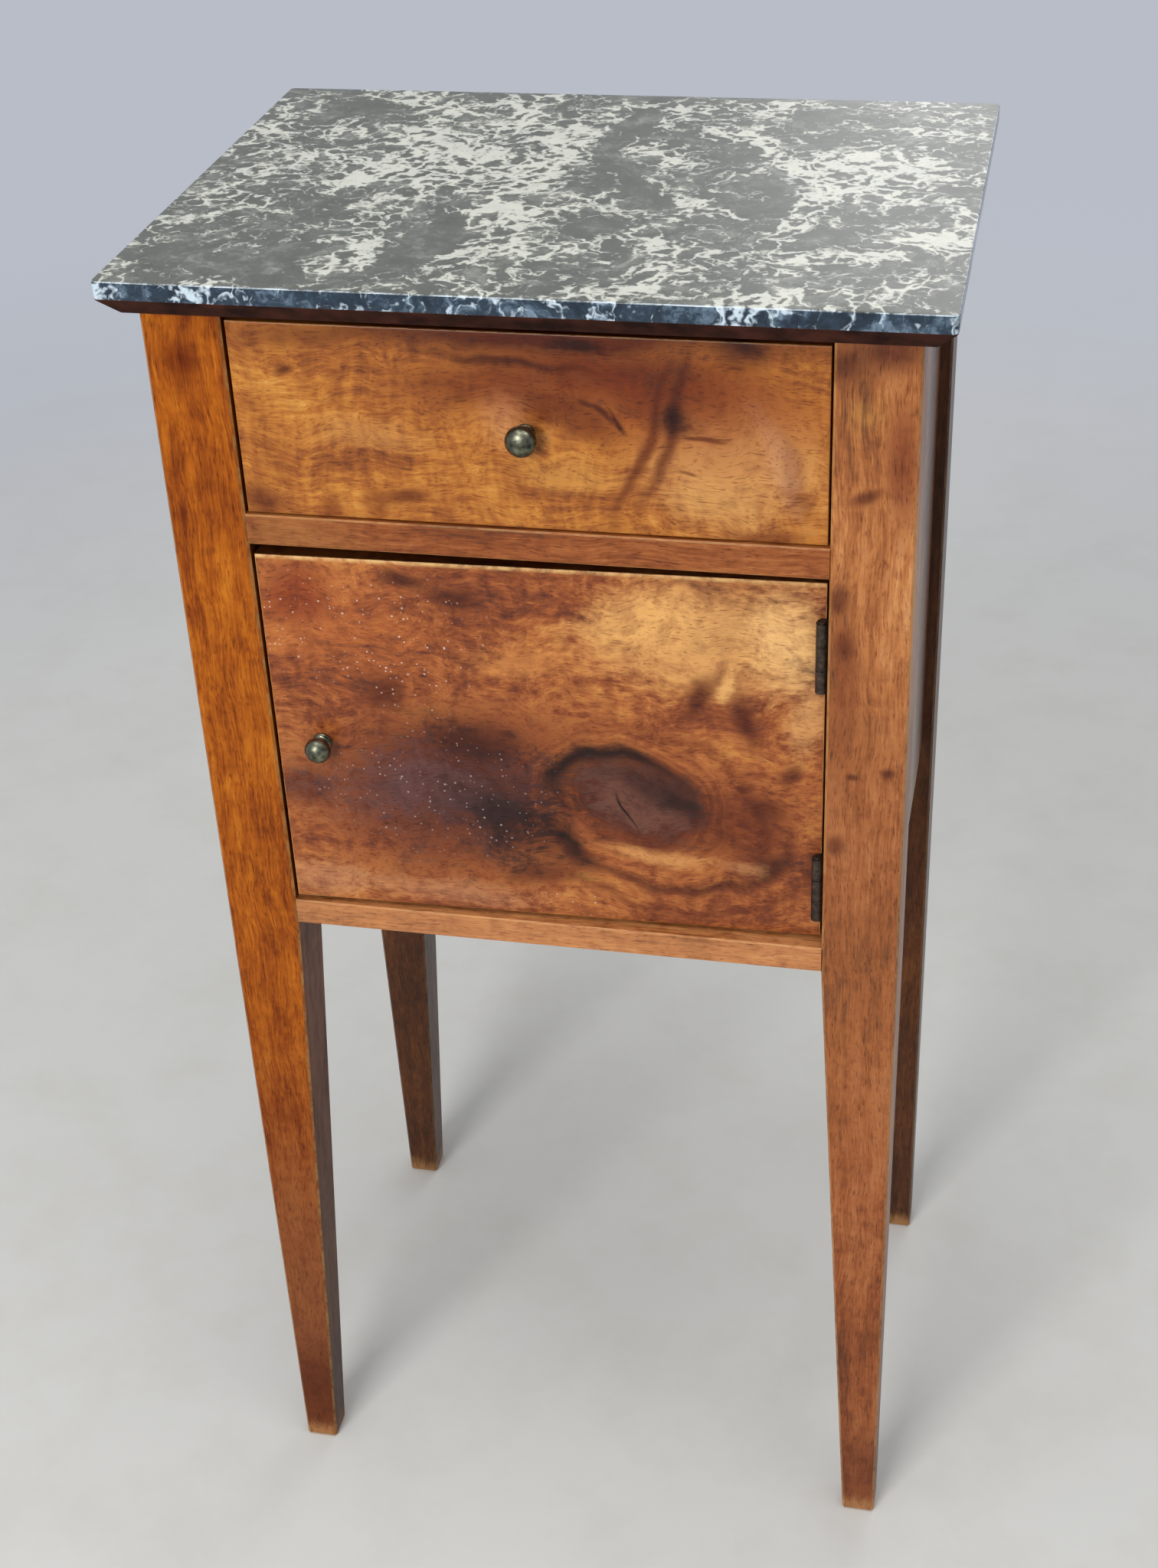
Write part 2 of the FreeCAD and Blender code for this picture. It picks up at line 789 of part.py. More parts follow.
def make_leaf(label, hinge, outer, knuckles, angle):
    """A hinge leaf: a plate, its knuckles round the pin and a web from each to the plate.

    Args:
        hinge: height of the hinge's middle.
        outer: side of the plate that lies away from the door's middle.
        knuckles: which thirds of the barrel belong to this leaf, counted from below.
        angle: how far the leaf is turned about the pin.
    """
    low = f"{hinge} - hinge_length / 2"
    inner = f"{outer} - leaf_thickness"
    width = "leaf_width - leaf_start"
    solids = [block("plate", inner, "leaf_start", low, "leaf_thickness", width, "hinge_length")]
    third = "hinge_length / 3"
    for step in knuckles:
        start = f"{low} + {step} * {third} + knuckle_gap / 2"
        height = f"{third} - knuckle_gap"
        solids.append(rod("knuckle", "0", "0", start, "barrel_radius", height))
        solids.append(block("web", inner, "0", start, "leaf_thickness", "leaf_start", height))
    holes = [rod("bore", "0", "0", low, "pin_radius + pin_clearance", "hinge_length")]
    for height in screw_heights([hinge]):
        radius = "screw_head_radius + joint_clearance"
        holes.append(rod("hole", inner, "screw_line", height, radius, "leaf_thickness", (1, 0, 0)))
    leaf = cut(label, union("leaf", solids), union("holes", holes))
    hang(leaf, angle)
    keep(leaf, label)


def make_leaf_screws(label, face, way, angle):
    """The slotted screws of one side's leaves, countersunk along X into the face of the plates."""
    axis = (way, 0, 0)
    screws = []
    seat = f"{face} + {way} * leaf_thickness"
    wide, narrow, tip = "screw_head_radius", "screw_radius", "screw_radius / 3"
    slot_x = face if way == RIGHT else f"{face} - screw_slot_depth"
    slot_y = "screw_line - screw_slot_width / 2"
    sizes = ("screw_slot_depth", "screw_slot_width", "2 * screw_head_radius")
    for height in screw_heights():
        head = rod("head", face, "screw_line", height, wide, "leaf_thickness", axis, narrow)
        shank = rod("shank", seat, "screw_line", height, narrow, "screw_length", axis, tip)
        slot = block("slot", slot_x, slot_y, f"{height} - screw_head_radius", *sizes)
        screws.append(cut("slotted_screw", union("screw", [head, shank]), slot))
    screws = group(label, screws)
    hang(screws, angle)
    keep(screws, label)


def make_hinge_pin(label, hinge):
    """A hinge pin with a flat head that rests on the top knuckle."""
    low = f"{hinge} - hinge_length / 2"
    top = f"{hinge} + hinge_length / 2 - knuckle_gap / 2"
    shank = rod("shank", "0", "0", low, "pin_radius", "hinge_length")
    head = rod("head", "0", "0", top, "pin_head_radius", "pin_head_height")
    pin = union(label, [shank, head])
    hang(pin)
    keep(pin, label)


def make_hinges():
    """Both butt hinges: leaves on the post, leaves on the door, pins and screws."""
    for hinge in HINGES:
        make_leaf(f"{hinge}_frame_leaf", hinge, "barrel_reach", (0, 2), "0")
        make_leaf(f"{hinge}_door_leaf", hinge, "door_edge", (1,), "door_ajar")
        make_hinge_pin(f"{hinge}_pin", hinge)
    make_leaf_screws("frame_leaf_screws", "barrel_reach - leaf_thickness", RIGHT, "0")
    make_leaf_screws("door_leaf_screws", "door_edge", LEFT, "door_ajar")


def make_door():
    """All pieces that swing with the door, apart from the hinge leaves."""
    make_door_panel()
    knob, nut = make_knob("door_knob_x", "barrel_reach", "door_knob_z", "door_knob_radius", "door_thickness")
    for piece, label in ((knob, "door_knob"), (nut, "door_knob_nut")):
        hang(piece, "door_ajar")
        keep(piece, label)


def make_carcass():
    """All pieces that stand still, apart from the hinge leaves."""
    make_leg("front_left_leg", LEFT, FRONT)
    make_leg("front_right_leg", RIGHT, FRONT)
    make_leg("rear_left_leg", LEFT, REAR)
    make_leg("rear_right_leg", RIGHT, REAR)
    for name, side in (("left", LEFT), ("right", RIGHT)):
        make_side_panel(f"{name}_side_panel", side)
        make_drawer_run(name, side)
    for step, label in enumerate(BACK_BOARDS):
        make_back_board(label, step)
    make_rail("bottom_rail", "leg_length", "bottom_rail_height")
    make_rail("drawer_rail", "door_head", "drawer_rail_height")
    make_floor()
    make_drawer_stops()
    make_door_stop()
    make_marble_top()


def write_pieces():
    """Check every object and shape, then write one file per piece."""
    doc.recompute()
    for item in doc.Objects:
        if "Invalid" in item.State or "Error" in item.State:
            raise RuntimeError(f"{item.Label} failed: {item.State}")
        if item.TypeId == "PartDesign::Pocket" and item.Shape.Volume >= item.BaseFeature.Shape.Volume:
            raise RuntimeError(f"{item.Label} cuts nothing")
    for piece in pieces:
        if piece.Shape.isNull() or not piece.Shape.isValid() or not piece.Shape.Solids:
            raise RuntimeError(f"{piece.Label} has no valid solid")
    os.makedirs("parts", exist_ok=True)
    for piece in pieces:
        piece.Shape.exportStep(f"parts/{piece.Label}.step")
        print(f"{piece.Label}: {len(piece.Shape.Solids)} solid(s), {piece.Shape.Volume:.0f} mm3")


fill_sheet()
make_carcass()
make_drawer()
make_door()
make_hinges()
write_pieces()
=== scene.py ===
"""Looks of a walnut nightstand with a marble top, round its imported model.

The frame is in metres: +X right, +Y back, +Z up, on the floor under the middle of the top.
Patterns, marks and their limits are in millimetres of the same frame.
"""

import logging
import math
from dataclasses import astuple, dataclass
from enum import Enum
from typing import Any

import bpy
import numpy as np
from mathutils import Matrix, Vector
from numpy.typing import ArrayLike


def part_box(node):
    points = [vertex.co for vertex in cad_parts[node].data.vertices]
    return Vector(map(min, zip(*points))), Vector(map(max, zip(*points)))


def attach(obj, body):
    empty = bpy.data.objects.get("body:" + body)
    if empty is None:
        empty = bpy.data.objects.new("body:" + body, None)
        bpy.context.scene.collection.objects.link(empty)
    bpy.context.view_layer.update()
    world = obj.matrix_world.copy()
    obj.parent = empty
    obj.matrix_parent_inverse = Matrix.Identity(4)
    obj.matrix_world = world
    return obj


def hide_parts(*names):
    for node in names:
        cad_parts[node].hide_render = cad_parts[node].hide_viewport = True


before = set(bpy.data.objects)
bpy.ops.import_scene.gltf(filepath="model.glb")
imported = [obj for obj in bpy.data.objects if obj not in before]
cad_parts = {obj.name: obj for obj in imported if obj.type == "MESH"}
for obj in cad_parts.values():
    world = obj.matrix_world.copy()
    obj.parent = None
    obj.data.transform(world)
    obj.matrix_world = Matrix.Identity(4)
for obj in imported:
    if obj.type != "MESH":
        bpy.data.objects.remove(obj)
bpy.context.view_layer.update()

Tree = bpy.types.NodeTree
Node = bpy.types.Node
Object = bpy.types.Object
Material = bpy.types.Material
# A socket is linked from another socket, or from the first live output of a node.
Source = bpy.types.NodeSocket | bpy.types.Node
Point = tuple[float, float, float]

LOG = logging.getLogger("nightstand")
MM = 0.001
BACKGROUND = "#b8bdc8"
# Refraction of polish, bare wood and stone.
IOR = 1.5
# Lengths past the piece, for marks and limits that don't end within it.
BEYOND = 1000.0
FAR_BEYOND = 5000.0
THROUGH_SLAB = 1e6


class Grain(Enum):
    """The axis along which a board's grain runs."""

    ACROSS = 0
    DEEP = 1
    UPRIGHT = 2


class Blend(Enum):
    """How a colour joins the one under it."""

    STAIN = "MULTIPLY"
    TINT = "MIX"

    @property
    def settings(self) -> dict[str, str]:
        """Settings of a node that mixes two colours."""
        return {"data_type": "RGBA", "blend_type": self.value}


class Body(Enum):
    """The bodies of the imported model."""

    CARCASS = "carcass"
    DRAWER = "drawer"
    DOOR = "door"


def linear(code: str) -> tuple[float, float, float, float]:
    """Turn an sRGB hex colour into the linear colour that a shader takes.

    Args:
        code: the colour, such as "#8a5a33".

    Returns:
        Red, green, blue and an alpha of 1.
    """
    parts = np.array([int(code[i:i + 2], 16) for i in (1, 3, 5)]) / 255.0
    curve = np.where(parts <= 0.04045, parts / 12.92, ((parts + 0.055) / 1.055) ** 2.4)
    return (*curve.tolist(), 1.0)


def add(
    tree: Tree,
    kind: str,
    inputs: dict[str | int, Any] | None = None,
    stops: tuple[tuple[float, str], ...] = (),
    **settings: Any,
) -> Node:
    """Add one node with its settings, and set or link its sockets.

    Args:
        tree: the tree that gets the node.
        kind: the node's type, without the words ShaderNode.
        inputs: for each socket a value, or the source that it is linked from.
        stops: places and colours of a colour ramp.
        settings: properties of the node.

    Returns:
        The new node.
    """
    made = tree.nodes.new("ShaderNode" + kind)
    for key, value in settings.items():
        setattr(made, key, value)
    for key, value in (inputs or {}).items():
        if isinstance(value, Node):
            value = next(socket for socket in value.outputs if socket.enabled)
        if isinstance(value, bpy.types.NodeSocket):
            tree.links.new(value, made.inputs[key])
        else:
            made.inputs[key].default_value = value
    for index, (place, code) in enumerate(stops):
        ramp = made.color_ramp.elements
        stop = ramp[index] if index < len(ramp) else ramp.new(place)
        stop.position, stop.color = place, linear(code)
    return made


def new_material(name: str) -> tuple[Material, Tree]:
    """Make an empty material.

    Args:
        name: the material's name.

    Returns:
        The material and its node tree.
    """
    material = bpy.data.materials.new(name)
    material.use_nodes = True
    material.node_tree.nodes.clear()
    return material, material.node_tree


def millimetres(tree: Tree) -> Node:
    """Give the node of the piece's own coordinates in millimetres."""
    place = add(tree, "TexCoord").outputs["Object"]
    return add(tree, "VectorMath", {0: place, "Scale": 1 / MM}, operation="SCALE")


def swayed(
    tree: Tree,
    place: Source,
    span: float,
    reach: float,
    onto: Source | None = None,
    roughness: float = 0.5,
) -> Node:
    """Push coordinates about by a slow noise, so that no line of a pattern is straight.

    Args:
        tree: the material's tree.
        place: coordinates in millimetres, which the noise reads.
        span: the noise's size in millimetres.
        reach: how far the noise pushes, in millimetres.
        onto: the coordinates that are pushed, where they aren't the same.
        roughness: the noise's roughness.

    Returns:
        The node of the new coordinates.
    """
    noise = add(tree, "TexNoise", {
        "Vector": place, "Scale": 1 / span, "Detail": 2.0, "Roughness": roughness}, normalize=False)
    return add(tree, "VectorMath", {0: noise.outputs["Color"], 1: (reach,) * 3, 2: onto or place},
               operation="MULTIPLY_ADD")


def shade(tree: Tree, inputs: dict[str, Any]) -> None:
    """End a material in one glossy shader, with a value or source for each socket named."""
    add(tree, "OutputMaterial", {"Surface": add(tree, "BsdfPrincipled", inputs)})


def seen_rays(tree: Tree) -> Node:
    """Tell the rays that show the background from those that light the piece.

    Args:
        tree: the tree of the background.

    Returns:
        A node that gives 1 for camera, glossy and transmission rays.
    """
    path = add(tree, "LightPath").outputs
    seen = add(tree, "Math", {0: path["Is Camera Ray"], 1: path["Is Glossy Ray"]}, operation="ADD")
    return add(tree, "Math", {0: seen, 1: path["Is Transmission Ray"]}, operation="ADD", use_clamp=True)


def stand(name: str, data: bpy.types.ID, place: ArrayLike, right: ArrayLike, up: ArrayLike) -> Object:
    """Stand a lamp or camera in the scene.

    Args:
        name: its name.
        data: the lamp or camera.
        place: where it stands, in metres.
        right: the direction of its right side.
        up: the direction of its upper side.

    Returns:
        The object.
    """
    turn = np.eye(4)
    turn[:3] = np.stack([right, up, np.cross(right, up), place], axis=1)
    made = bpy.data.objects.new(name, data)
    bpy.context.scene.collection.objects.link(made)
    made.matrix_world = Matrix(turn.tolist())
    return made


def surface(name: str, points: np.ndarray, closed: bool = True) -> Object:
    """Make a smooth object of a grid of points, at the origin and unturned.

    Args:
        name: the object's name.
        points: the grid, rows by columns by 3, in metres, with rows that run outwards seen anticlockwise.
        closed: the last column joins the first, and one face closes the first row and one the last.

    Returns:
        The object, linked to the scene.
    """
    rows, columns = points.shape[:2]
    index = np.arange(rows * columns).reshape(rows, columns)
    beside = np.roll(index, -1, axis=1)
    span = slice(None) if closed else slice(columns - 1)
    corners = [index[:-1, span], beside[:-1, span], beside[1:, span], index[1:, span]]
    faces = np.stack(corners, axis=-1).reshape(-1, 4).tolist()
    if closed:
        faces += [index[0, ::-1].tolist(), index[-1].tolist()]
    mesh = bpy.data.meshes.new(name)
    mesh.from_pydata(points.reshape(-1, 3).tolist(), [], faces)
    mesh.polygons.foreach_set("use_smooth", np.ones(len(faces), dtype=bool))
    mesh.update()
    made = bpy.data.objects.new(name, mesh)
    bpy.context.scene.collection.objects.link(made)
    return made


def dress_piece(piece: Object, *materials: Material) -> None:
    """Give a new piece its materials.

    Args:
        piece: the piece.
        materials: its finishes, in the order of their numbers.
    """
    for material in materials:
        piece.data.materials.append(material)
        LOG.info("%s: %s", piece.name, material.name)


def finish_nodes(names: tuple[str, ...], material: Material) -> None:
    """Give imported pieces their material.

    Args:
        names: the pieces.
        material: their finish.
    """
    for name in names:
        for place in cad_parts[name].material_slots:
            place.material = material
        LOG.info("%s: %s", name, material.name)


@dataclass(frozen=True)
class Wash:
    """A thin colour over another, which sets in between two values of a pattern."""

    start: float
    full: float
    most: float
    colour: str

    def over(self, tree: Tree, pattern: Source, colour: Source) -> Node:
        """Lay the wash over a colour, where a pattern calls for it."""
        share = add(tree, "MapRange", {
            "Value": pattern, "From Min": self.start, "From Max": self.full, "To Max": self.most})
        return add(tree, "Mix", {0: share, 6: colour, 7: linear(self.colour)}, **Blend.STAIN.settings)


@dataclass(frozen=True)
class Layer:
    """One layer of a board's grain: its pattern's width and length in millimetres, and its weight."""

    across: float
    along: float
    detail: float
    weight: float
    roughness: float = 0.6

    def drawn(self, tree: Tree, place: Source, grain: Grain, shift: float = 0.0) -> Node:
        """Draw a noise out along the grain.

        Args:
            tree: the material's tree.
            place: coordinates in millimetres.
            grain: the way the grain runs.
            shift: how far the pattern is moved, in its own widths and lengths.

        Returns:
            The node of the noise.
        """
        scale = tuple(1 / (self.along if axis == grain.value else self.across) for axis in range(3))
        lay = add(tree, "Mapping", {"Vector": place, "Location": (shift,) * 3, "Scale": scale})
        return add(tree, "TexNoise", {
            "Vector": lay, "Scale": 1.0, "Detail": self.detail, "Roughness": self.roughness})


@dataclass(frozen=True)
class Ellipse:
    """An ellipse in a board's face: millimetres in X and Z, and degrees from +X towards +Z."""

    x: float
    z: float
    wide: float
    high: float
    turn: float

    def local(self, tree: Tree, place: Source) -> Node:
        """Turn coordinates into shares of the ellipse's reach from its centre.

        Args:
            tree: the material's tree.
            place: coordinates in millimetres.

        Returns:
            The node of the shares.
        """
        return add(tree, "Mapping", {
            "Vector": place,
            "Location": (self.x, 0.0, self.z),
            "Rotation": (0.0, -math.radians(self.turn), 0.0),
            "Scale": (self.wide, BEYOND, self.high),
        }, vector_type="TEXTURE")

    def distance(self, tree: Tree, place: Source) -> Node:
        """Measure the distance of a place from the ellipse's centre, as a share of its reach."""
        return add(tree, "VectorMath", {0: self.local(tree, place)}, operation="LENGTH")


@dataclass(frozen=True)
class Knot(Ellipse):
    """A knot with growth rings round it, which fade into the grain between two shares of its reach."""

    weight: float
    rings: float = 6.0
    full: float = 0.8
    end: float = 2.1

    def ringed(self, tree: Tree, place: Source, tone: Source) -> Node:
        """Lay the growth rings over the grain.

        Args:
            tree: the material's tree.
            place: coordinates in millimetres.
            tone: the grain's tone.

        Returns:
            The node of the new tone.
        """
        far = self.distance(tree, place)
        turns = add(tree, "Math", {0: far, 1: self.rings}, operation="MULTIPLY")
        rings = add(tree, "TexNoise", {"W": turns, "Scale": 1.0, "Detail": 3.0, "Roughness": 0.6},
                    noise_dimensions="1D")
        share = add(tree, "MapRange", {
            "Value": far, "From Min": self.end, "From Max": self.full, "To Max": self.weight,
        }, interpolation_type="SMOOTHSTEP")
        return add(tree, "Mix", {0: share, 2: tone, 3: rings})


@dataclass(frozen=True)
class Mark(Ellipse):
    """A soft-edged patch in a board's face, such as a cloud or a streak.

    Its weight falls from full inside the core's share of the ellipse to nothing at the ellipse, and
    the grain feathers its edge.
    """

    colour: str
    weight: float
    core: float = 0.2
    blend: Blend = Blend.STAIN
    feather: float = 0.9

    def mask(self, tree: Tree, place: Source, grain: Source) -> Node:
        """Weigh the patch.

        Args:
            tree: the material's tree.
            place: coordinates in millimetres.
            grain: the grain's tone, about 0.5, which moves the patch's edge.

        Returns:
            The node of the weight.
        """
        far = add(tree, "Math", {0: grain, 1: -self.feather, 2: self.distance(tree, place)},
                  operation="MULTIPLY_ADD")
        return add(tree, "MapRange", {
            "Value": far, "From Min": 1.0 - self.feather / 2, "From Max": self.core - self.feather / 2,
            "To Max": self.weight,
        }, interpolation_type="SMOOTHSTEP")


@dataclass(frozen=True)
class Ring(Mark):
    """A ring of a knot along an ellipse, with a core for its half width.

    It is strongest on the side that it is turned toward, and only its rest's share is left opposite.
    """

    core: float = 0.1
    toward: float = 90.0
    rest: float = 0.1
    weak_side: float = -0.6
    strong_side: float = 0.8

    def mask(self, tree: Tree, place: Source, grain: Source) -> Node:
        """Weigh the ring.

        Args:
            tree: the material's tree.
            place: coordinates in millimetres.
            grain: the grain's tone, about 0.5, which moves the ring.

        Returns:
            The node of the weight.
        """
        local = self.local(tree, place)
        moved = self.feather * self.core
        far = add(tree, "Math", {0: grain, 1: -moved, 2: self.distance(tree, place)},
                  operation="MULTIPLY_ADD")
        off = add(tree, "Math", {0: far, 1: 1.0 - moved / 2}, operation="SUBTRACT")
        off = add(tree, "Math", {0: off}, operation="ABSOLUTE")
        line = add(tree, "MapRange", {
            "Value": off, "From Min": self.core, "From Max": 0.0, "To Max": self.weight,
        }, interpolation_type="SMOOTHSTEP")
        angle = math.radians(self.toward)
        side = add(tree, "VectorMath", {0: local, 1: (math.cos(angle), 0.0, math.sin(angle))},
                   operation="DOT_PRODUCT")
        share = add(tree, "MapRange", {
            "Value": side, "From Min": self.weak_side, "From Max": self.strong_side, "To Min": self.rest})
        return add(tree, "Math", {0: line, 1: share}, operation="MULTIPLY")


@dataclass(frozen=True)
class Palette:
    """Four tones of a board, from its darkest bands to its palest."""

    dark: str
    brown: str
    amber: str
    pale: str

    def stops(self) -> tuple[tuple[float, str], ...]:
        """Places of the tones along the grain's tone."""
        return tuple(zip((0.2, 0.42, 0.6, 0.82), astuple(self)))


# Tones of the drawer, the door, the left post, the right post and rails, the rear legs and the sides.
HONEY = Palette("#643214", "#94531f", "#b2702b", "#c88e42")
RUSSET = Palette("#54291a", "#854420", "#a66230", "#c0843f")
ORANGE = Palette("#602606", "#86400a", "#a0540f", "#b4691a")
ROSY = Palette("#6e4022", "#98592c", "#b0703e", "#c28854")
# The rear legs' tones are darkened as painted shade under the case.
SHADED = Palette("#301809", "#42220d", "#532d11", "#643a18")
# The sides' tones are darker than the front's, partly as painted shade.
UMBER = Palette("#46240f", "#683a1a", "#824e26", "#9a6636")

# Layers of each figure: bands, flecks, a ripple across the grain, pores and broad shading.
FIGURED = (
    Layer(9.0, 60.0, 5.0, 0.5),
    Layer(3.5, 8.0, 5.0, 0.75),
    Layer(26.0, 5.0, 2.0, 0.2),
    Layer(0.8, 6.0, 2.0, 0.32),
    Layer(60.0, 90.0, 3.0, 0.9),
)
BANDED = (
    Layer(4.0, 120.0, 5.0, 0.55),
    Layer(2.5, 14.0, 5.0, 0.5),
    Layer(22.0, 5.0, 2.0, 0.42),
    Layer(0.8, 9.0, 2.0, 0.4),
    Layer(45.0, 90.0, 3.0, 0.9),
)
STRAIGHT = (
    Layer(6.0, 120.0, 5.0, 0.7),
    Layer(3.5, 16.0, 4.0, 0.6),
    Layer(20.0, 5.0, 2.0, 0.14),
    Layer(0.9, 22.0, 2.0, 0.7),
    Layer(50.0, 110.0, 3.0, 0.8),
)


@dataclass(frozen=True)
class PolishedWalnut:
    """Old walnut under a worn shellac polish: amber to red-brown bands, dark pores, a soft gloss.

    Real pores are 0.2 mm wide; these are drawn 0.7 to 0.9 mm wide, so that they show.
    """

    name: str
    grain: Grain
    palette: Palette
    marks: tuple[Mark, ...] = ()
    knots: tuple[Knot, ...] = ()
    specks: tuple[Mark, ...] = ()
    layers: tuple[Layer, ...] = STRAIGHT
    pores: Layer = Layer(0.7, 6.0, 1.0, 0.55, 0.5)
    pore_depth: float = 0.1
    wander: float = 3.0
    wander_span: float = 60.0
    mottle_span: float = 8.0
    blush: float = 0.35
    # Painted shade darkens faces turned the way given below: gaps under the slab and rails, and faces away
    # from the lamps.
    painted_shade: float = 0.0
    painted_shade_way: Point = (0.0, 0.0, 1.0)
    # Pale arrises and a band below the upper edge at the height below: partly worn polish, partly a painted
    # highlight.
    wear_and_highlight: float = 0.3
    worn_highlit_edge_height: float = BEYOND
    stain_depth: float = BEYOND
    stain_fade: float = 4.0
    speck_cell: float = 2.8
    polish: float = 0.1
    specular: float = 0.2

    def grain_tone(self, tree: Tree, place: Source) -> Source:
        """Sum the layers about 0.5.

        Args:
            tree: the material's tree.
            place: coordinates in millimetres.

        Returns:
            The source of the tone.
        """
        tone: Any = 0.5 - sum(layer.weight for layer in self.layers) / 2
        for layer in self.layers:
            noise = layer.drawn(tree, place, self.grain)
            tone = add(tree, "Math", {0: noise, 1: layer.weight, 2: tone}, operation="MULTIPLY_ADD")
        return tone

    def specked(self, tree: Tree, place: Source, grain: Source, colour: Source) -> Source:
        """Spatter the polish with tiny pale specks, about a millimetre across.

        Args:
            tree: the material's tree.
            place: coordinates in millimetres.
            grain: the grain's tone.
            colour: the colour under the specks.

        Returns:
            The source of the new colour.
        """
        largest, rim, middle = 0.25, 0.01, -0.07
        cells = add(tree, "TexVoronoi", {"Vector": place, "Scale": 1 / self.speck_cell}).outputs
        chance = add(tree, "SeparateColor", {0: cells["Color"]})
        short = add(tree, "Math", {0: chance, 1: -largest, 2: cells["Distance"]}, operation="MULTIPLY_ADD")
        dot = add(tree, "MapRange", {"Value": short, "From Min": rim, "From Max": middle})
        for region in self.specks:
            here = add(tree, "Math", {0: dot, 1: region.mask(tree, place, grain)}, operation="MULTIPLY")
            colour = add(tree, "Mix", {0: here, 6: colour, 7: linear(region.colour)}, **Blend.TINT.settings)
        return colour

    def stained(self, tree: Tree, place: Source, bent: Source, grain: Source) -> Node:
        """Colour the grain, and lay marks and specks on it in front of the stain's depth.

        Args:
            tree: the material's tree.
            place: coordinates in millimetres.
            bent: the same, swayed as the grain is.
            grain: the grain's tone.

        Returns:
            The node of the colour.
        """
        tone = grain
        for knot in self.knots:
            tone = knot.ringed(tree, bent, tone)
        clean = add(tree, "ValToRGB", {0: tone}, stops=self.palette.stops())
        colour = clean
        for mark in self.marks:
            mask = mark.mask(tree, bent, grain)
            colour = add(tree, "Mix", {0: mask, 6: colour, 7: linear(mark.colour)}, **mark.blend.settings)
        if self.specks:
            colour = self.specked(tree, place, grain, colour)
        depth = add(tree, "SeparateXYZ", {0: place}).outputs["Y"]
        deep = add(tree, "MapRange", {
            "Value": depth, "From Min": self.stain_depth - self.stain_fade, "From Max": self.stain_depth})
        return add(tree, "Mix", {0: deep, 6: colour, 7: clean}, **Blend.TINT.settings)

    def rubbed_and_highlit(self, tree: Tree, place: Source, normal: Source, mottle: Source, colour: Source) -> Node:
        """Lighten the arrises, which lie aslant, and a band below the upper edge: partly worn polish, partly
        a painted highlight.

        Args:
            tree: the material's tree.
            place: coordinates in millimetres.
            normal: the face's direction in the piece's own space.
            mottle: the noise that says where the wear is.
            colour: the colour under the wear.

        Returns:
            The node of the new colour.
        """
        flat, slanted = 0.95, 0.82
        band_foot, band_top = 2.6, 1.2
        size = add(tree, "VectorMath", {0: normal}, operation="ABSOLUTE")
        parts = add(tree, "SeparateXYZ", {0: size}).outputs
        most = add(tree, "Math", {0: parts["X"], 1: parts["Y"]}, operation="MAXIMUM")
        most = add(tree, "Math", {0: most, 1: parts["Z"]}, operation="MAXIMUM")
        aslant = add(tree, "MapRange", {"Value": most, "From Min": flat, "From Max": slanted})
        height = add(tree, "SeparateXYZ", {0: place}).outputs["Z"]
        upper = add(tree, "MapRange", {"Value": height, "From Min": self.worn_highlit_edge_height - band_foot,
                                       "From Max": self.worn_highlit_edge_height - band_top})
        facing = add(tree, "SeparateXYZ", {0: normal}).outputs["Y"]
        front = add(tree, "MapRange", {"Value": facing, "From Min": -0.5, "From Max": -0.9})
        upper = add(tree, "Math", {0: upper, 1: front}, operation="MULTIPLY")
        bare = add(tree, "Math", {0: aslant, 1: upper}, operation="MAXIMUM")
        worn = add(tree, "MapRange", {"Value": mottle, "From Min": 0.4, "From Max": 0.6,
                                      "To Min": self.wear_and_highlight / 4, "To Max": self.wear_and_highlight})
        share = add(tree, "Math", {0: bare, 1: worn}, operation="MULTIPLY")
        # The pale bare-wood colour: partly worn polish, partly a painted highlight.
        return add(tree, "Mix", {0: share, 6: colour, 7: linear("#d9ac6c")}, **Blend.TINT.settings)

    def build(self) -> Material:
        """Make the material: stained grain, then blush, pores, painted shade, and pale arrises with a
        painted highlight, under the polish.

        Returns:
            The material.
        """
        material, tree = new_material(self.name)
        place = millimetres(tree)
        normal = add(tree, "TexCoord").outputs["Normal"]
        bent = swayed(tree, place, self.wander_span, self.wander)
        grain = self.grain_tone(tree, bent)
        pores = self.pores.drawn(tree, bent, self.grain)
        mottle = add(tree, "TexNoise", {"Vector": bent, "Scale": 1 / self.mottle_span, "Detail": 4.0,
                                        "Roughness": 0.65})
        facing = add(tree, "VectorMath", {0: normal, 1: self.painted_shade_way}, operation="DOT_PRODUCT")
        colour = self.stained(tree, place, bent, grain)
        colour = Wash(0.48, 0.72, self.blush, "#93606a").over(tree, mottle, colour)
        colour = Wash(0.58, 0.72, self.pores.weight, "#8a5c48").over(tree, pores, colour)
        # Painted shade on the faces that turn the given way.
        colour = Wash(0.5, 0.9, self.painted_shade, "#3a2820").over(tree, facing, colour)
        colour = self.rubbed_and_highlit(tree, place, normal, mottle, colour)
        gloss = add(tree, "MapRange", {"Value": grain, "From Min": 0.2, "From Max": 0.8,
                                       "To Min": 0.44, "To Max": 0.3})
        bump = add(tree, "Bump", {"Strength": 0.25, "Distance": self.pore_depth * MM, "Height": pores})
        shade(tree, {"Base Color": colour, "Roughness": gloss, "IOR": IOR,
                     "Specular IOR Level": self.specular, "Coat Weight": self.polish,
                     "Coat Roughness": 0.18, "Normal": bump})
        return material


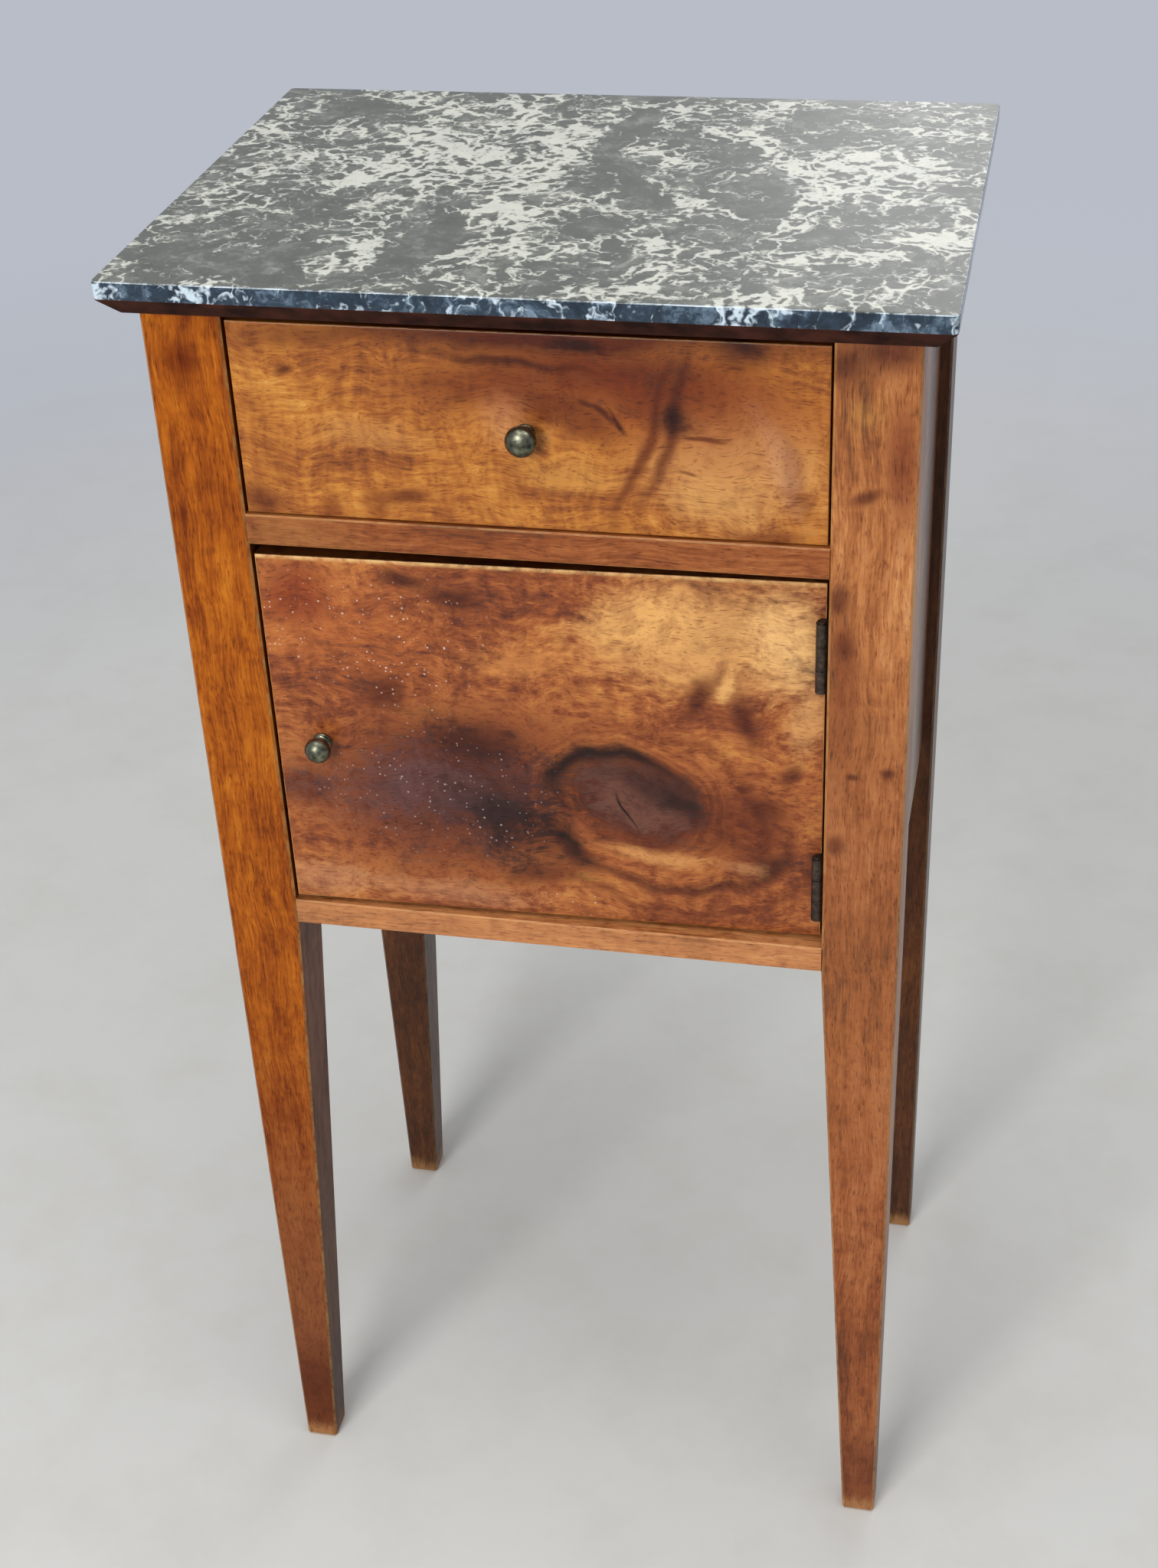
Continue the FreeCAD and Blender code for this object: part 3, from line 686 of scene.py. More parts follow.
@dataclass(frozen=True)
class BareOak:
    """Bare oak gone brown with age: dull, straw to brown, with dark pores and dirty seams, no polish.

    Real pores are 0.3 mm wide; these are drawn 1 mm wide, so that they show.
    """

    name: str
    grain: Grain
    light: str = "#b08c60"
    dark: str = "#86623e"
    shift: float = 0.0
    seams: tuple[float, ...] = ()
    rings: Layer = Layer(11.0, 260.0, 4.0, 1.0)
    pores: Layer = Layer(1.0, 22.0, 2.0, 0.7)
    pore_depth: float = 0.2
    age_span: float = 70.0

    def build(self) -> Material:
        """Make the material: growth rings, then pores, age and soiling along each seam.

        Returns:
            The material.
        """
        material, tree = new_material(self.name)
        place = millimetres(tree)
        rings = self.rings.drawn(tree, place, self.grain, self.shift)
        pores = self.pores.drawn(tree, place, self.grain, self.shift)
        age = add(tree, "TexNoise", {"Vector": place, "Scale": 1 / self.age_span, "Detail": 4.0})
        height = add(tree, "SeparateXYZ", {0: place}).outputs["Z"]
        colour = add(tree, "ValToRGB", {0: rings}, stops=((0.34, self.dark), (0.64, self.light)))
        colour = Wash(0.52, 0.7, self.pores.weight, "#8a6a4c").over(tree, pores, colour)
        colour = Wash(0.45, 0.75, 0.6, "#a08468").over(tree, age, colour)
        for seam in self.seams:
            off = add(tree, "Math", {0: height, 1: seam}, operation="SUBTRACT")
            off = add(tree, "Math", {0: off}, operation="ABSOLUTE")
            colour = Wash(3.5, 0.3, 0.85, "#3c2a1e").over(tree, off, colour)
        bump = add(tree, "Bump", {"Strength": 0.3, "Distance": self.pore_depth * MM, "Height": pores})
        shade(tree, {"Base Color": colour, "Roughness": 0.75, "IOR": IOR, "Specular IOR Level": 0.3,
                     "Normal": bump})
        return material


@dataclass(frozen=True)
class Patch:
    """A stretch of the slab with more or less white: an ellipse in X and Y, in millimetres and degrees.

    Its weight is full inside the core's share of the ellipse and falls to nothing at the rim's.
    """

    x: float
    y: float
    wide: float
    deep: float
    turn: float
    weight: float
    core: float = 0.5
    rim: float = 1.25

    def share(self, tree: Tree, place: Source) -> Node:
        """Weigh the patch.

        Args:
            tree: the material's tree.
            place: coordinates in millimetres.

        Returns:
            The node of the weight.
        """
        local = add(tree, "Mapping", {
            "Vector": place,
            "Location": (self.x, self.y, 0.0),
            "Rotation": (0.0, 0.0, math.radians(self.turn)),
            "Scale": (self.wide, self.deep, THROUGH_SLAB),
        }, vector_type="TEXTURE")
        far = add(tree, "VectorMath", {0: local}, operation="LENGTH")
        return add(tree, "MapRange", {
            "Value": far, "From Min": self.rim, "From Max": self.core, "To Max": self.weight,
        }, interpolation_type="SMOOTHSTEP")


@dataclass(frozen=True)
class GreyMarble:
    """Dark grey marble broken by cream-white calcite: dulled on top where it is worn, glossy on its edges.

    Sizes are millimetres on the stone, such as 13 mm from one broken cell to the next.
    """

    name: str
    patches: tuple[Patch, ...]
    drift_span: float = 34.0
    swirl_span: float = 50.0
    swirl: float = 14.0
    tear_span: float = 9.0
    tear: float = 5.0
    clast: float = 13.0
    chip_span: float = 6.0
    haze_span: float = 16.0
    fewer_on_edges: float = -0.045

    def amount(self, tree: Tree, place: Source) -> Node:
        """Say how much of the stone is white: a wandering share with listed patches.

        Args:
            tree: the material's tree.
            place: coordinates in millimetres.

        Returns:
            The node of the amount.
        """
        swing, mean = 0.2, 0.035
        drift = add(tree, "TexNoise", {"Vector": place, "Scale": 1 / self.drift_span, "Detail": 3.0},
                    normalize=False)
        amount = add(tree, "Math", {0: drift, 1: swing, 2: mean}, operation="MULTIPLY_ADD")
        for patch in self.patches:
            amount = add(tree, "Math", {0: amount, 1: patch.share(tree, place)}, operation="ADD")
        return amount

    def white(self, tree: Tree, bent: Source, torn: Source, worn: Source) -> Node:
        """Find the calcite: it fills the seams between broken cells, as wide as its amount allows.

        Args:
            tree: the material's tree.
            bent: swirled coordinates in millimetres.
            torn: the same with a ragged edge.
            worn: 1 on the worn top, 0 on the edges.

        Returns:
            The node of the white's share.
        """
        chipping = 0.17
        seam = add(tree, "TexVoronoi", {"Vector": torn, "Scale": 1 / self.clast}, feature="DISTANCE_TO_EDGE")
        chips = add(tree, "TexNoise", {"Vector": torn, "Scale": 1 / self.chip_span, "Detail": 2.0},
                    normalize=False)
        spare = add(tree, "Math", {0: self.amount(tree, bent), 1: seam}, operation="SUBTRACT")
        spare = add(tree, "Math", {0: chips, 1: chipping, 2: spare}, operation="MULTIPLY_ADD")
        fewer = add(tree, "MapRange", {"Value": worn, "To Min": self.fewer_on_edges, "To Max": 0.0})
        spare = add(tree, "Math", {0: spare, 1: fewer}, operation="ADD")
        return add(tree, "MapRange", {"Value": spare, "From Min": -0.1, "From Max": 0.09},
                   interpolation_type="SMOOTHSTEP")

    def build(self) -> Material:
        """Make the material: hazy ground and calcite, duller on top, tinted by a painted reflection on the
        edges, and a pale arris.

        Returns:
            The material.
        """
        material, tree = new_material(self.name)
        place = millimetres(tree)
        bent = swayed(tree, place, self.swirl_span, self.swirl)
        torn = swayed(tree, place, self.tear_span, self.tear, bent, 0.6)
        up = add(tree, "SeparateXYZ", {0: add(tree, "NewGeometry").outputs["Normal"]}).outputs["Z"]
        worn = add(tree, "MapRange", {"Value": up, "From Min": 0.4, "From Max": 0.95})
        haze = add(tree, "TexNoise", {"Vector": torn, "Scale": 1 / self.haze_span, "Detail": 6.0,
                                      "Roughness": 0.7})
        # On the edges the ground and the white are tinted blue, a painted reflection of the light; the top's
        # paler, duller tones are worn stone.
        dull = add(tree, "ValToRGB", {0: haze}, stops=(
            (0.3, "#52534c"), (0.52, "#60615a"), (0.62, "#777870"), (0.75, "#9a9b93")))
        glossy = add(tree, "ValToRGB", {0: haze}, stops=(
            (0.3, "#171d25"), (0.52, "#2f3c49"), (0.72, "#74889a")))
        ground = add(tree, "Mix", {0: worn, 6: glossy, 7: dull}, **Blend.TINT.settings)
        cream = add(tree, "ValToRGB", {0: haze}, stops=((0.3, "#c2c3ba"), (0.7, "#d4d2c4")))
        pale = add(tree, "Mix", {0: worn, 6: linear("#bccbd6"), 7: cream}, **Blend.TINT.settings)
        white = self.white(tree, bent, torn, worn)
        colour = add(tree, "Mix", {0: white, 6: ground, 7: pale}, **Blend.TINT.settings)
        # A pale line along the upper arris: partly rubbed stone, partly a painted highlight.
        slope, spread = 0.6, 0.3
        arris = add(tree, "Math", {0: up, 1: slope, 2: spread}, operation="COMPARE")
        rubbed_and_highlit = add(tree, "MapRange", {"Value": haze, "From Min": 0.42, "From Max": 0.56, "To Max": 0.75})
        rub_and_highlight = add(tree, "Math", {0: arris, 1: rubbed_and_highlit}, operation="MULTIPLY")
        colour = add(tree, "Mix", {0: rub_and_highlight, 6: colour, 7: linear("#c4d0d8")}, **Blend.TINT.settings)
        gloss = add(tree, "MapRange", {"Value": worn, "To Min": 0.14, "To Max": 0.36})
        shade(tree, {"Base Color": colour, "Roughness": gloss, "IOR": IOR, "Specular IOR Level": 0.25})
        return material


@dataclass(frozen=True)
class ShadedStoneUnderside:
    """The slab's unpolished underside, with no shine: its brown-black is painted shade and a painted
    reflection of the wood below.
    """

    name: str = "shaded stone underside"
    shade_mottle_span: float = 14.0

    def build(self) -> Material:
        """Make the material.

        Returns:
            The material.
        """
        material, tree = new_material(self.name)
        place = millimetres(tree)
        shade_mottle = add(tree, "TexNoise", {"Vector": place, "Scale": 1 / self.shade_mottle_span, "Detail": 4.0})
        # Painted shade and a painted reflection of the wood, mottled.
        colour = add(tree, "ValToRGB", {0: shade_mottle}, stops=((0.35, "#22120e"), (0.65, "#44251c")))
        shade(tree, {"Base Color": colour, "Roughness": 0.95, "IOR": IOR, "Specular IOR Level": 0.1})
        return material


@dataclass(frozen=True)
class AgedMetal:
    """Metal with spots of patina or rust, in a ramp of colours, that change its gloss as well."""

    name: str
    spot: float
    detail: float
    stops: tuple[tuple[float, str], ...]
    dark_roughness: float
    pale_roughness: float
    metallic: float

    def build(self) -> Material:
        """Make the material.

        Returns:
            The material.
        """
        material, tree = new_material(self.name)
        spots = add(tree, "TexNoise", {
            "Vector": millimetres(tree), "Scale": 1 / self.spot, "Detail": self.detail})
        colour = add(tree, "ValToRGB", {0: spots}, stops=self.stops)
        gloss = add(tree, "MapRange", {"Value": spots, "From Min": 0.3, "From Max": 0.7,
                                       "To Min": self.dark_roughness, "To Max": self.pale_roughness})
        shade(tree, {"Base Color": colour, "Roughness": gloss, "Metallic": self.metallic})
        return material


# Turned brass gone olive and brown in the hollows: dim, with a bright spot on the rubbed crown.
PATINATED_BRASS = AgedMetal("patinated brass", 3.0, 4.0, (
    (0.3, "#35362e"), (0.55, "#6c6c5a"), (0.75, "#96947e")), 0.45, 0.24, 1.0)
# Rolled steel oxidised brown-black: dull, with a rusty bloom.
OXIDISED_STEEL = AgedMetal("oxidised steel", 2.5, 5.0, (
    (0.35, "#332b26"), (0.6, "#4c3f36"), (0.8, "#6a4f3a")), 0.28, 0.5, 0.8)


@dataclass(frozen=True)
class PaleFloor:
    """Painted studio floor: matt, pale and faintly scuffed, which runs into the background far out."""

    name: str = "pale floor"
    scuff_span: float = 90.0
    near: float = 700.0
    far: float = 2400.0

    def build(self) -> Material:
        """Make the material.

        Returns:
            The material.
        """
        material, tree = new_material(self.name)
        place = millimetres(tree)
        scuffs = add(tree, "TexNoise", {"Vector": place, "Scale": 1 / self.scuff_span, "Detail": 6.0,
                                        "Roughness": 0.65})
        colour = add(tree, "ValToRGB", {0: scuffs}, stops=((0.45, "#cfceca"), (0.8, "#c8c6c0")))
        paint = add(tree, "BsdfPrincipled", {"Base Color": colour, "Roughness": 0.85})
        beyond = add(tree, "Emission", {"Color": linear(BACKGROUND), "Strength": 1.0})
        radius = add(tree, "VectorMath", {0: place}, operation="LENGTH")
        out = add(tree, "MapRange", {"Value": radius, "From Min": self.near, "From Max": self.far},
                  interpolation_type="SMOOTHSTEP")
        share = add(tree, "Math", {0: out, 1: seen_rays(tree)}, operation="MULTIPLY")
        add(tree, "OutputMaterial", {"Surface": add(tree, "MixShader", {0: share, 1: paint, 2: beyond})})
        return material


@dataclass
class MarbleTop:
    """The slab: square at the back, bevelled under its other three edges, with softened corners."""

    bevel: float = 9.5 * MM
    arris: float = 1.0 * MM
    corner: float = 3.0 * MM
    least_corner: float = 0.2 * MM
    border: float = 12.0 * MM
    underside: float = -0.3
    arc_points: int = 7
    side_points: int = 60
    patches: tuple[Patch, ...] = (
        Patch(-66, 37, 73, 89, 0, 0.1), Patch(-24, 39, 18, 12, 0, 0.08),
        Patch(-109, 123, 23, 20, 0, 0.12), Patch(137, 14, 57, 44, 0, 0.11),
        Patch(105, 18, 12, 23, 0, 0.1), Patch(69, -24, 24, 8, -55, 0.15),
        Patch(-25, -40, 23, 13, 0, 0.14), Patch(-15, -98, 14, 20, 0, 0.16),
        Patch(66, -110, 17, 8, 0, 0.12), Patch(180, -63, 15, 20, 0, 0.12),
        Patch(-82, -90, 16, 18, 0, 0.05), Patch(52, -135, 34, 15, 0, 0.06),
        Patch(-171, -11, 24, 19, 0, 0.05), Patch(-136, 37, 25, 15, 0, 0.04),
        Patch(-135, 109, 31, 30, 0, -0.1), Patch(-136, -110, 42, 28, 0, -0.15),
        Patch(-52, -90, 16, 41, 0, -0.3), Patch(16, 107, 10, 24, -15, -0.35),
        Patch(13, 54, 9, 34, 0, -0.3), Patch(34, -8, 10, 30, 35, -0.25),
        Patch(1, -1, 14, 23, 0, -0.12), Patch(87, -11, 17, 27, 0, -0.18),
        Patch(73, -61, 19, 25, 0, -0.1), Patch(141, -54, 20, 25, 0, -0.1),
        Patch(114, 93, 31, 42, 0, -0.1), Patch(155, -109, 35, 23, 0, -0.06),
        Patch(-124, -44, 20, 27, 0, -0.1), Patch(-176, -110, 21, 32, 0, -0.12),
        Patch(55, 70, 25, 50, 0, -0.05), Patch(-90, -132, 62, 16, 0, -0.12),
        Patch(0, 152, 240, 9, 0, -0.12), Patch(-172, 140, 26, 14, 0, -0.15),
    )

    def profile(self, thick: float) -> np.ndarray:
        """Insets and heights of the edge: each corner is eased by a parabola between its two runs.

        Args:
            thick: the slab's thickness.

        Returns:
            Rows of inset and height, from under the slab to its top.
        """
        corners = np.array([(self.bevel + self.border, 0.0), (self.bevel, 0.0), (0.0, self.bevel),
                            (0.0, thick), (self.border, thick)])
        runs = np.diff(corners, axis=0)
        ways = runs / np.linalg.norm(runs, axis=1, keepdims=True)
        share = np.linspace(0, 1, self.arc_points)[None, :, None]
        before, after = ways[:-1, None], ways[1:, None]
        eased = corners[1:-1, None] + self.arris * (after * share ** 2 - before * (1 - share) ** 2)
        return np.vstack([corners[:1], eased.reshape(-1, 2), corners[-1:]])

    def outline(self, low: np.ndarray, high: np.ndarray, radius: np.ndarray) -> np.ndarray:
        """Draw rounded rectangles: four straight sides that meet in quarter circles.

        Args:
            low: rows of the lowest X and Y.
            high: rows of the highest X and Y.
            radius: the corner radius of each row.

        Returns:
            Rows by points by X and Y, anticlockwise from above.
        """
        turn = np.linspace(0, np.pi / 2, self.arc_points)
        side = np.linspace(0, 1, self.side_points)[1:-1]
        arcs = []
        for quarter, sign in enumerate(np.array([[1, 1], [-1, 1], [-1, -1], [1, -1]])):
            centre = np.where(sign > 0, high - radius[:, None], low + radius[:, None])
            angle = turn + quarter * np.pi / 2
            ring = np.stack([np.cos(angle), np.sin(angle)], axis=-1)
            arcs.append(centre[:, None] + radius[:, None, None] * ring)
        loops = []
        for arc, after in zip(arcs, arcs[1:] + arcs[:1]):
            loops += [arc, arc[:, -1:] + side[:, None] * (after[:, :1] - arc[:, -1:])]
        return np.concatenate(loops, axis=1)

    def build(self) -> Object:
        """Make the slab's surface: its edge's profile, carried round its outline.

        Returns:
            The slab.
        """
        low, high = (np.array(corner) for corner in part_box("marble_top"))
        thick = high[2] - low[2]
        inset, height = self.profile(thick).T
        # The back has no bevel: only the innermost row below and the upper arris are inset there.
        back = np.where(height < thick / 2, 0.0, inset)
        back[0] = inset[0]
        ring = self.outline(
            np.stack([low[0] + inset, low[1] + inset], axis=-1),
            np.stack([high[0] - inset, high[1] - back], axis=-1),
            np.clip(self.corner - inset, self.least_corner, None),
        )
        points = np.dstack([ring, np.broadcast_to(low[2] + height[:, None], ring.shape[:2])])
        made = surface("marble_slab", points)
        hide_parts("marble_top")
        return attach(made, Body.CARCASS.value)

    def dress(self, piece: Object) -> None:
        """Give the slab its marble, and painted shade under it.

        Args:
            piece: the slab.
        """
        dress_piece(piece, GreyMarble("grey marble", self.patches).build(), ShadedStoneUnderside().build())
        # Faces that turn down get the painted shade.
        faces = piece.data.polygons
        ways = np.empty(3 * len(faces))
        faces.foreach_get("normal", ways)
        faces.foreach_set("material_index", (ways[2::3] < self.underside).astype(np.int32))


@dataclass(frozen=True)
class Knob:
    """A turned knob with its stud: a rose, a neck and a flattened ball, lathed about its own axis."""

    node: str
    body: Body
    ball: float
    turn: float = 0.0
    reach: float = 15.0 * MM
    ball_depth: float = 11.0 * MM
    ball_start: float = 0.04
    ball_end: float = 0.86 * math.pi
    neck: float = 2.9 * MM
    neck_start: float = 0.12
    rose: float = 4.9 * MM
    rose_depth: float = 1.7 * MM
    rose_edge: float = 0.3
    stud: float = 2.0 * MM
    stud_tip: float = 0.8
    stud_taper: float = 0.4 * MM
    ball_points: int = 30
    bend_points: int = 9
    facets: int = 48

    def profile(self, length: float) -> np.ndarray:
        """Radius and depth behind the tip: a half ellipse, a hollow neck, a rounded rose, a rod.

        Args:
            length: the whole length with the stud.

        Returns:
            Rows of radius and depth.
        """
        sweep = np.linspace(self.ball_start, self.ball_end, self.ball_points)
        ball = np.stack([self.ball * np.sin(sweep), self.ball_depth / 2 * (1 - np.cos(sweep))], -1)
        start = ball[-1]
        share = np.linspace(self.neck_start, 1, self.bend_points)[:, None]
        foot = self.reach - self.rose_depth
        neck_radius = start[0] + (self.neck - start[0]) * np.sin(share * np.pi / 2)
        neck = np.hstack([neck_radius, start[1] + (foot - start[1]) * share])
        bend = np.linspace(0, np.pi, self.bend_points)
        rose = np.stack([
            self.rose - self.rose_depth * self.rose_edge * (1 - np.sin(bend)),
            foot + self.rose_depth * (1 - np.cos(bend)) / 2], -1)
        rod = [[self.stud, self.reach], [self.stud, length - self.stud_taper],
               [self.stud * self.stud_tip, length]]
        return np.vstack([ball, neck, rose, rod])

    def build(self) -> Object:
        """Make the knob's surface: its profile, turned about its axis, which leans as the knob is turned.

        Returns:
            The knob.
        """
        low, high = (np.array(corner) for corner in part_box(self.node))
        tip = np.array([low[0] + self.ball, low[1], (low[2] + high[2]) / 2])
        radius, depth = self.profile(high[1] - low[1]).T
        around = np.linspace(0, 2 * np.pi, self.facets, endpoint=False)
        side = radius[:, None] * np.cos(around)
        rise = radius[:, None] * np.sin(around)
        back = np.broadcast_to(depth[:, None], side.shape)
        c, s = math.cos(math.radians(self.turn)), math.sin(math.radians(self.turn))
        points = np.stack([c * side - s * back, s * side + c * back, rise], axis=-1) + tip
        made = surface(self.node + "_turned", points)
        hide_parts(self.node)
        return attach(made, self.body.value)


# The bare end of a foot.
FOOT = Mark(0, 0, FAR_BEYOND, 15, 0, "#a8794c", 0.7, 0.1, Blend.TINT)


@dataclass
class Carcass:
    """The fixed case: legs, rails, panels, boards and the drawer's run."""

    left_post: tuple[str, ...] = ("front_left_leg",)
    right_post: tuple[str, ...] = ("front_right_leg",)
    rear_legs: tuple[str, ...] = ("rear_left_leg", "rear_right_leg")
    rails: tuple[str, ...] = ("bottom_rail", "drawer_rail")
    sides: tuple[str, ...] = ("left_side_panel", "right_side_panel")
    run: tuple[str, ...] = ("left_runner", "left_guide", "left_kicker",
                            "right_runner", "right_guide", "right_kicker", "door_stop")
    across: tuple[str, ...] = ("cabinet_floor", "drawer_stops")
    boards: tuple[str, ...] = ("back_board_lower", "back_board_middle", "back_board_upper")
    board_tones: tuple[tuple[str, str], ...] = (
        ("#a88458", "#805c3a"), ("#b48e60", "#8a6640"), ("#a07c54", "#785638"))
    board_shift: float = 37.0
    left_marks: tuple[Mark, ...] = (
        Mark(-166, 90, 90, 260, 0, "#70442c", 0.68, 0.2, Blend.TINT),
        Mark(-166, 42, 60, 60, 0, "#986c60", 0.7),
        Mark(-163, 732, 12, 14, 0, "#9a6040", 0.7),
        FOOT,
    )
    right_marks: tuple[Mark, ...] = (
        Mark(147, 744, 16, 14, 0, "#86605e", 0.8),
        Mark(165, 751, 26, 14, 0, "#8c6a72", 0.85, feather=1.3),
        Mark(156, 722, 16, 16, 0, "#bc8440", 0.5, 0.1, Blend.TINT, feather=1.3),
        Mark(172, 700, 10, 40, 0, "#a8746c", 0.7, feather=1.3),
        Mark(148, 580, 12, 60, 0, "#a87c68", 0.6, feather=1.3),
        Mark(156, 682, 12, 5, 30, "#7a4c3c", 0.8),
        Mark(146, 627, 8, 12, 0, "#82584e", 0.8),
        Mark(149, 604, 8, 14, 0, "#94685c", 0.7),
        Mark(171, 534, 5, 4, 0, "#7a4c3c", 0.8, feather=0.5),
        Mark(155, 531, 5, 3, 0, "#80523f", 0.8, feather=0.5),
        Mark(148, 490, 6, 9, 0, "#8c5c4a", 0.7),
        Mark(160, 480, 200, 130, 0, "#e2d8d8", 0.8),
        Mark(160, 120, 200, 420, 0, "#cfb4a8", 0.85),
        Mark(160, 38, 60, 44, 0, "#a07c70", 0.6),
        FOOT,
    )
    rail_marks: tuple[Mark, ...] = (
        Mark(0, 417, FAR_BEYOND, 12, 0, "#c88c5c", 0.35, 0.6, Blend.TINT),
        Mark(20, 640, FAR_BEYOND, 22, 0, "#d2b8a0", 0.85, 0.7),
        Mark(-125, 640, 70, 20, 0, "#8c5c2c", 0.45, 0.2, Blend.TINT),
    )

    def dress(self) -> None:
        """Give each fixed piece its wood."""
        # The left post's inner face, which turns right, is darkened as painted shade, and little is left of
        # its polish.
        left = PolishedWalnut(
            "walnut, left post", Grain.UPRIGHT, ORANGE, self.left_marks,
            painted_shade=0.55, painted_shade_way=(1.0, 0.0, 0.0), polish=0.03, specular=0.09)
        right = PolishedWalnut("walnut, right post", Grain.UPRIGHT, ROSY, self.right_marks)
        rear = PolishedWalnut("walnut, rear legs", Grain.UPRIGHT, SHADED, (FOOT,), wear_and_highlight=0.1)
        rail = PolishedWalnut("walnut, rails", Grain.ACROSS, ROSY, self.rail_marks)
        panel = PolishedWalnut(
            "walnut, side panels", Grain.UPRIGHT, UMBER, layers=BANDED, wander=9.0, polish=0.6)
        for names, finish in (
            (self.left_post, left), (self.right_post, right), (self.rear_legs, rear),
            (self.rails, rail), (self.sides, panel),
            (self.run, BareOak("oak, deep", Grain.DEEP)),
            (self.across, BareOak("oak, across", Grain.ACROSS)),
        ):
            finish_nodes(names, finish.build())
        for number, (name, (light, dark)) in enumerate(zip(self.boards, self.board_tones)):
            low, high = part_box(name)
            board = BareOak(f"oak, back board {number + 1}", Grain.ACROSS, light, dark,
                            self.board_shift * number, (low[2] / MM, high[2] / MM))
            finish_nodes((name,), board.build())


@dataclass
class Drawer:
    """The drawer: a figured front, oak sides, back and bottom, and a knob."""

    knob: Knob = Knob("drawer_knob", Body.DRAWER, 7.6 * MM)
    deep: tuple[str, ...] = ("drawer_left_side", "drawer_right_side", "drawer_bottom")
    marks: tuple[Mark, ...] = (
        # The first two marks, pale on the right, are a painted sheen.
        Mark(95, 690, 62, 44, 0, "#bc8652", 0.6, 0.1, Blend.TINT),
        Mark(90, 673, 34, 18, 0, "#c69352", 0.5, 0.2, Blend.TINT),
        Mark(23, 684, 36, 14, 0, "#c0863e", 0.65, 0.2, Blend.TINT),
        Mark(-76, 699, 40, 12, 0, "#c48a48", 0.5, 0.2, Blend.TINT),
        Mark(-6, 708, 22, 20, 0, "#b98060", 0.35, 0.1, Blend.TINT),
        Mark(10, 751, 190, 14, 0, "#845654", 0.95),
        Mark(-20, 724, 62, 17, 0, "#a87464", 0.7, feather=1.3),
        Mark(42, 733, 90, 22, -8, "#ac7a66", 0.8, feather=1.3),
        Mark(-10, 737, 56, 5, -5, "#7c584e", 0.85),
        Mark(20, 713, 34, 9, -15, "#96603e", 0.65),
        Mark(69.5, 712.7, 13, 11, 0, "#5a3c3c", 0.9, 0.1, feather=1.0),
        Mark(68, 708, 5.5, 62, -14, "#88583e", 0.85, 0.1, feather=0.6),
        Mark(56, 699, 5, 66, -17, "#90603e", 0.85, 0.1, feather=0.6),
        Mark(40, 712, 11, 1.8, -36, "#6e4230", 0.85),
        Mark(31, 715, 15, 1.8, -24, "#7a4c36", 0.8),
        Mark(84, 704.5, 13, 1.8, -3, "#8a5a40", 0.8),
        Mark(79, 688.5, 9, 1.5, 0, "#8a5a40", 0.7),
        Mark(-112.4, 732.8, 7, 3.5, 20, "#7a5038", 0.8),
        Mark(-96, 657, 10, 13, 0, "#a8744a", 0.6),
        Mark(-73, 663, 8, 15, 0, "#a8744a", 0.6),
        Mark(-59, 668, 16, 7, 0, "#8e5e40", 0.75),
        Mark(100, 745, 19, 14, 0, "#70525c", 0.95),
        Mark(26, 749, 15, 6, 0, "#75545c", 0.8),
        Mark(124, 685, 7, 28, 23, "#a07048", 0.5),
        Mark(117, 692, 8, 34, 28, "#c0947a", 0.22, 0.1, Blend.TINT, feather=1.6),
        Mark(58, 724, 110, 30, -6, "#c8988a", 0.7, feather=1.3),
        Mark(112, 658, 26, 6, 0, "#9a6a44", 0.7),
        Mark(-133, 660, 18, 15, 0, "#9a7468", 0.8),
    )

    def build(self) -> Object:
        """Make the drawer's knob."""
        return self.knob.build()

    def dress(self, piece: Object, brass: Material) -> None:
        """Give each piece of the drawer its finish.

        Args:
            piece: the knob's surface.
            brass: the knob's finish.
        """
        dress_piece(piece, brass)
        front = PolishedWalnut("walnut, drawer front", Grain.ACROSS, HONEY, self.marks, layers=BANDED,
                               blush=0.4, painted_shade=0.55, wander=9.0)
        finish_nodes(("drawer_front",), front.build())
        finish_nodes(self.deep, BareOak("oak, drawer", Grain.DEEP).build())
        finish_nodes(("drawer_back",), BareOak("oak, drawer back", Grain.ACROSS).build())


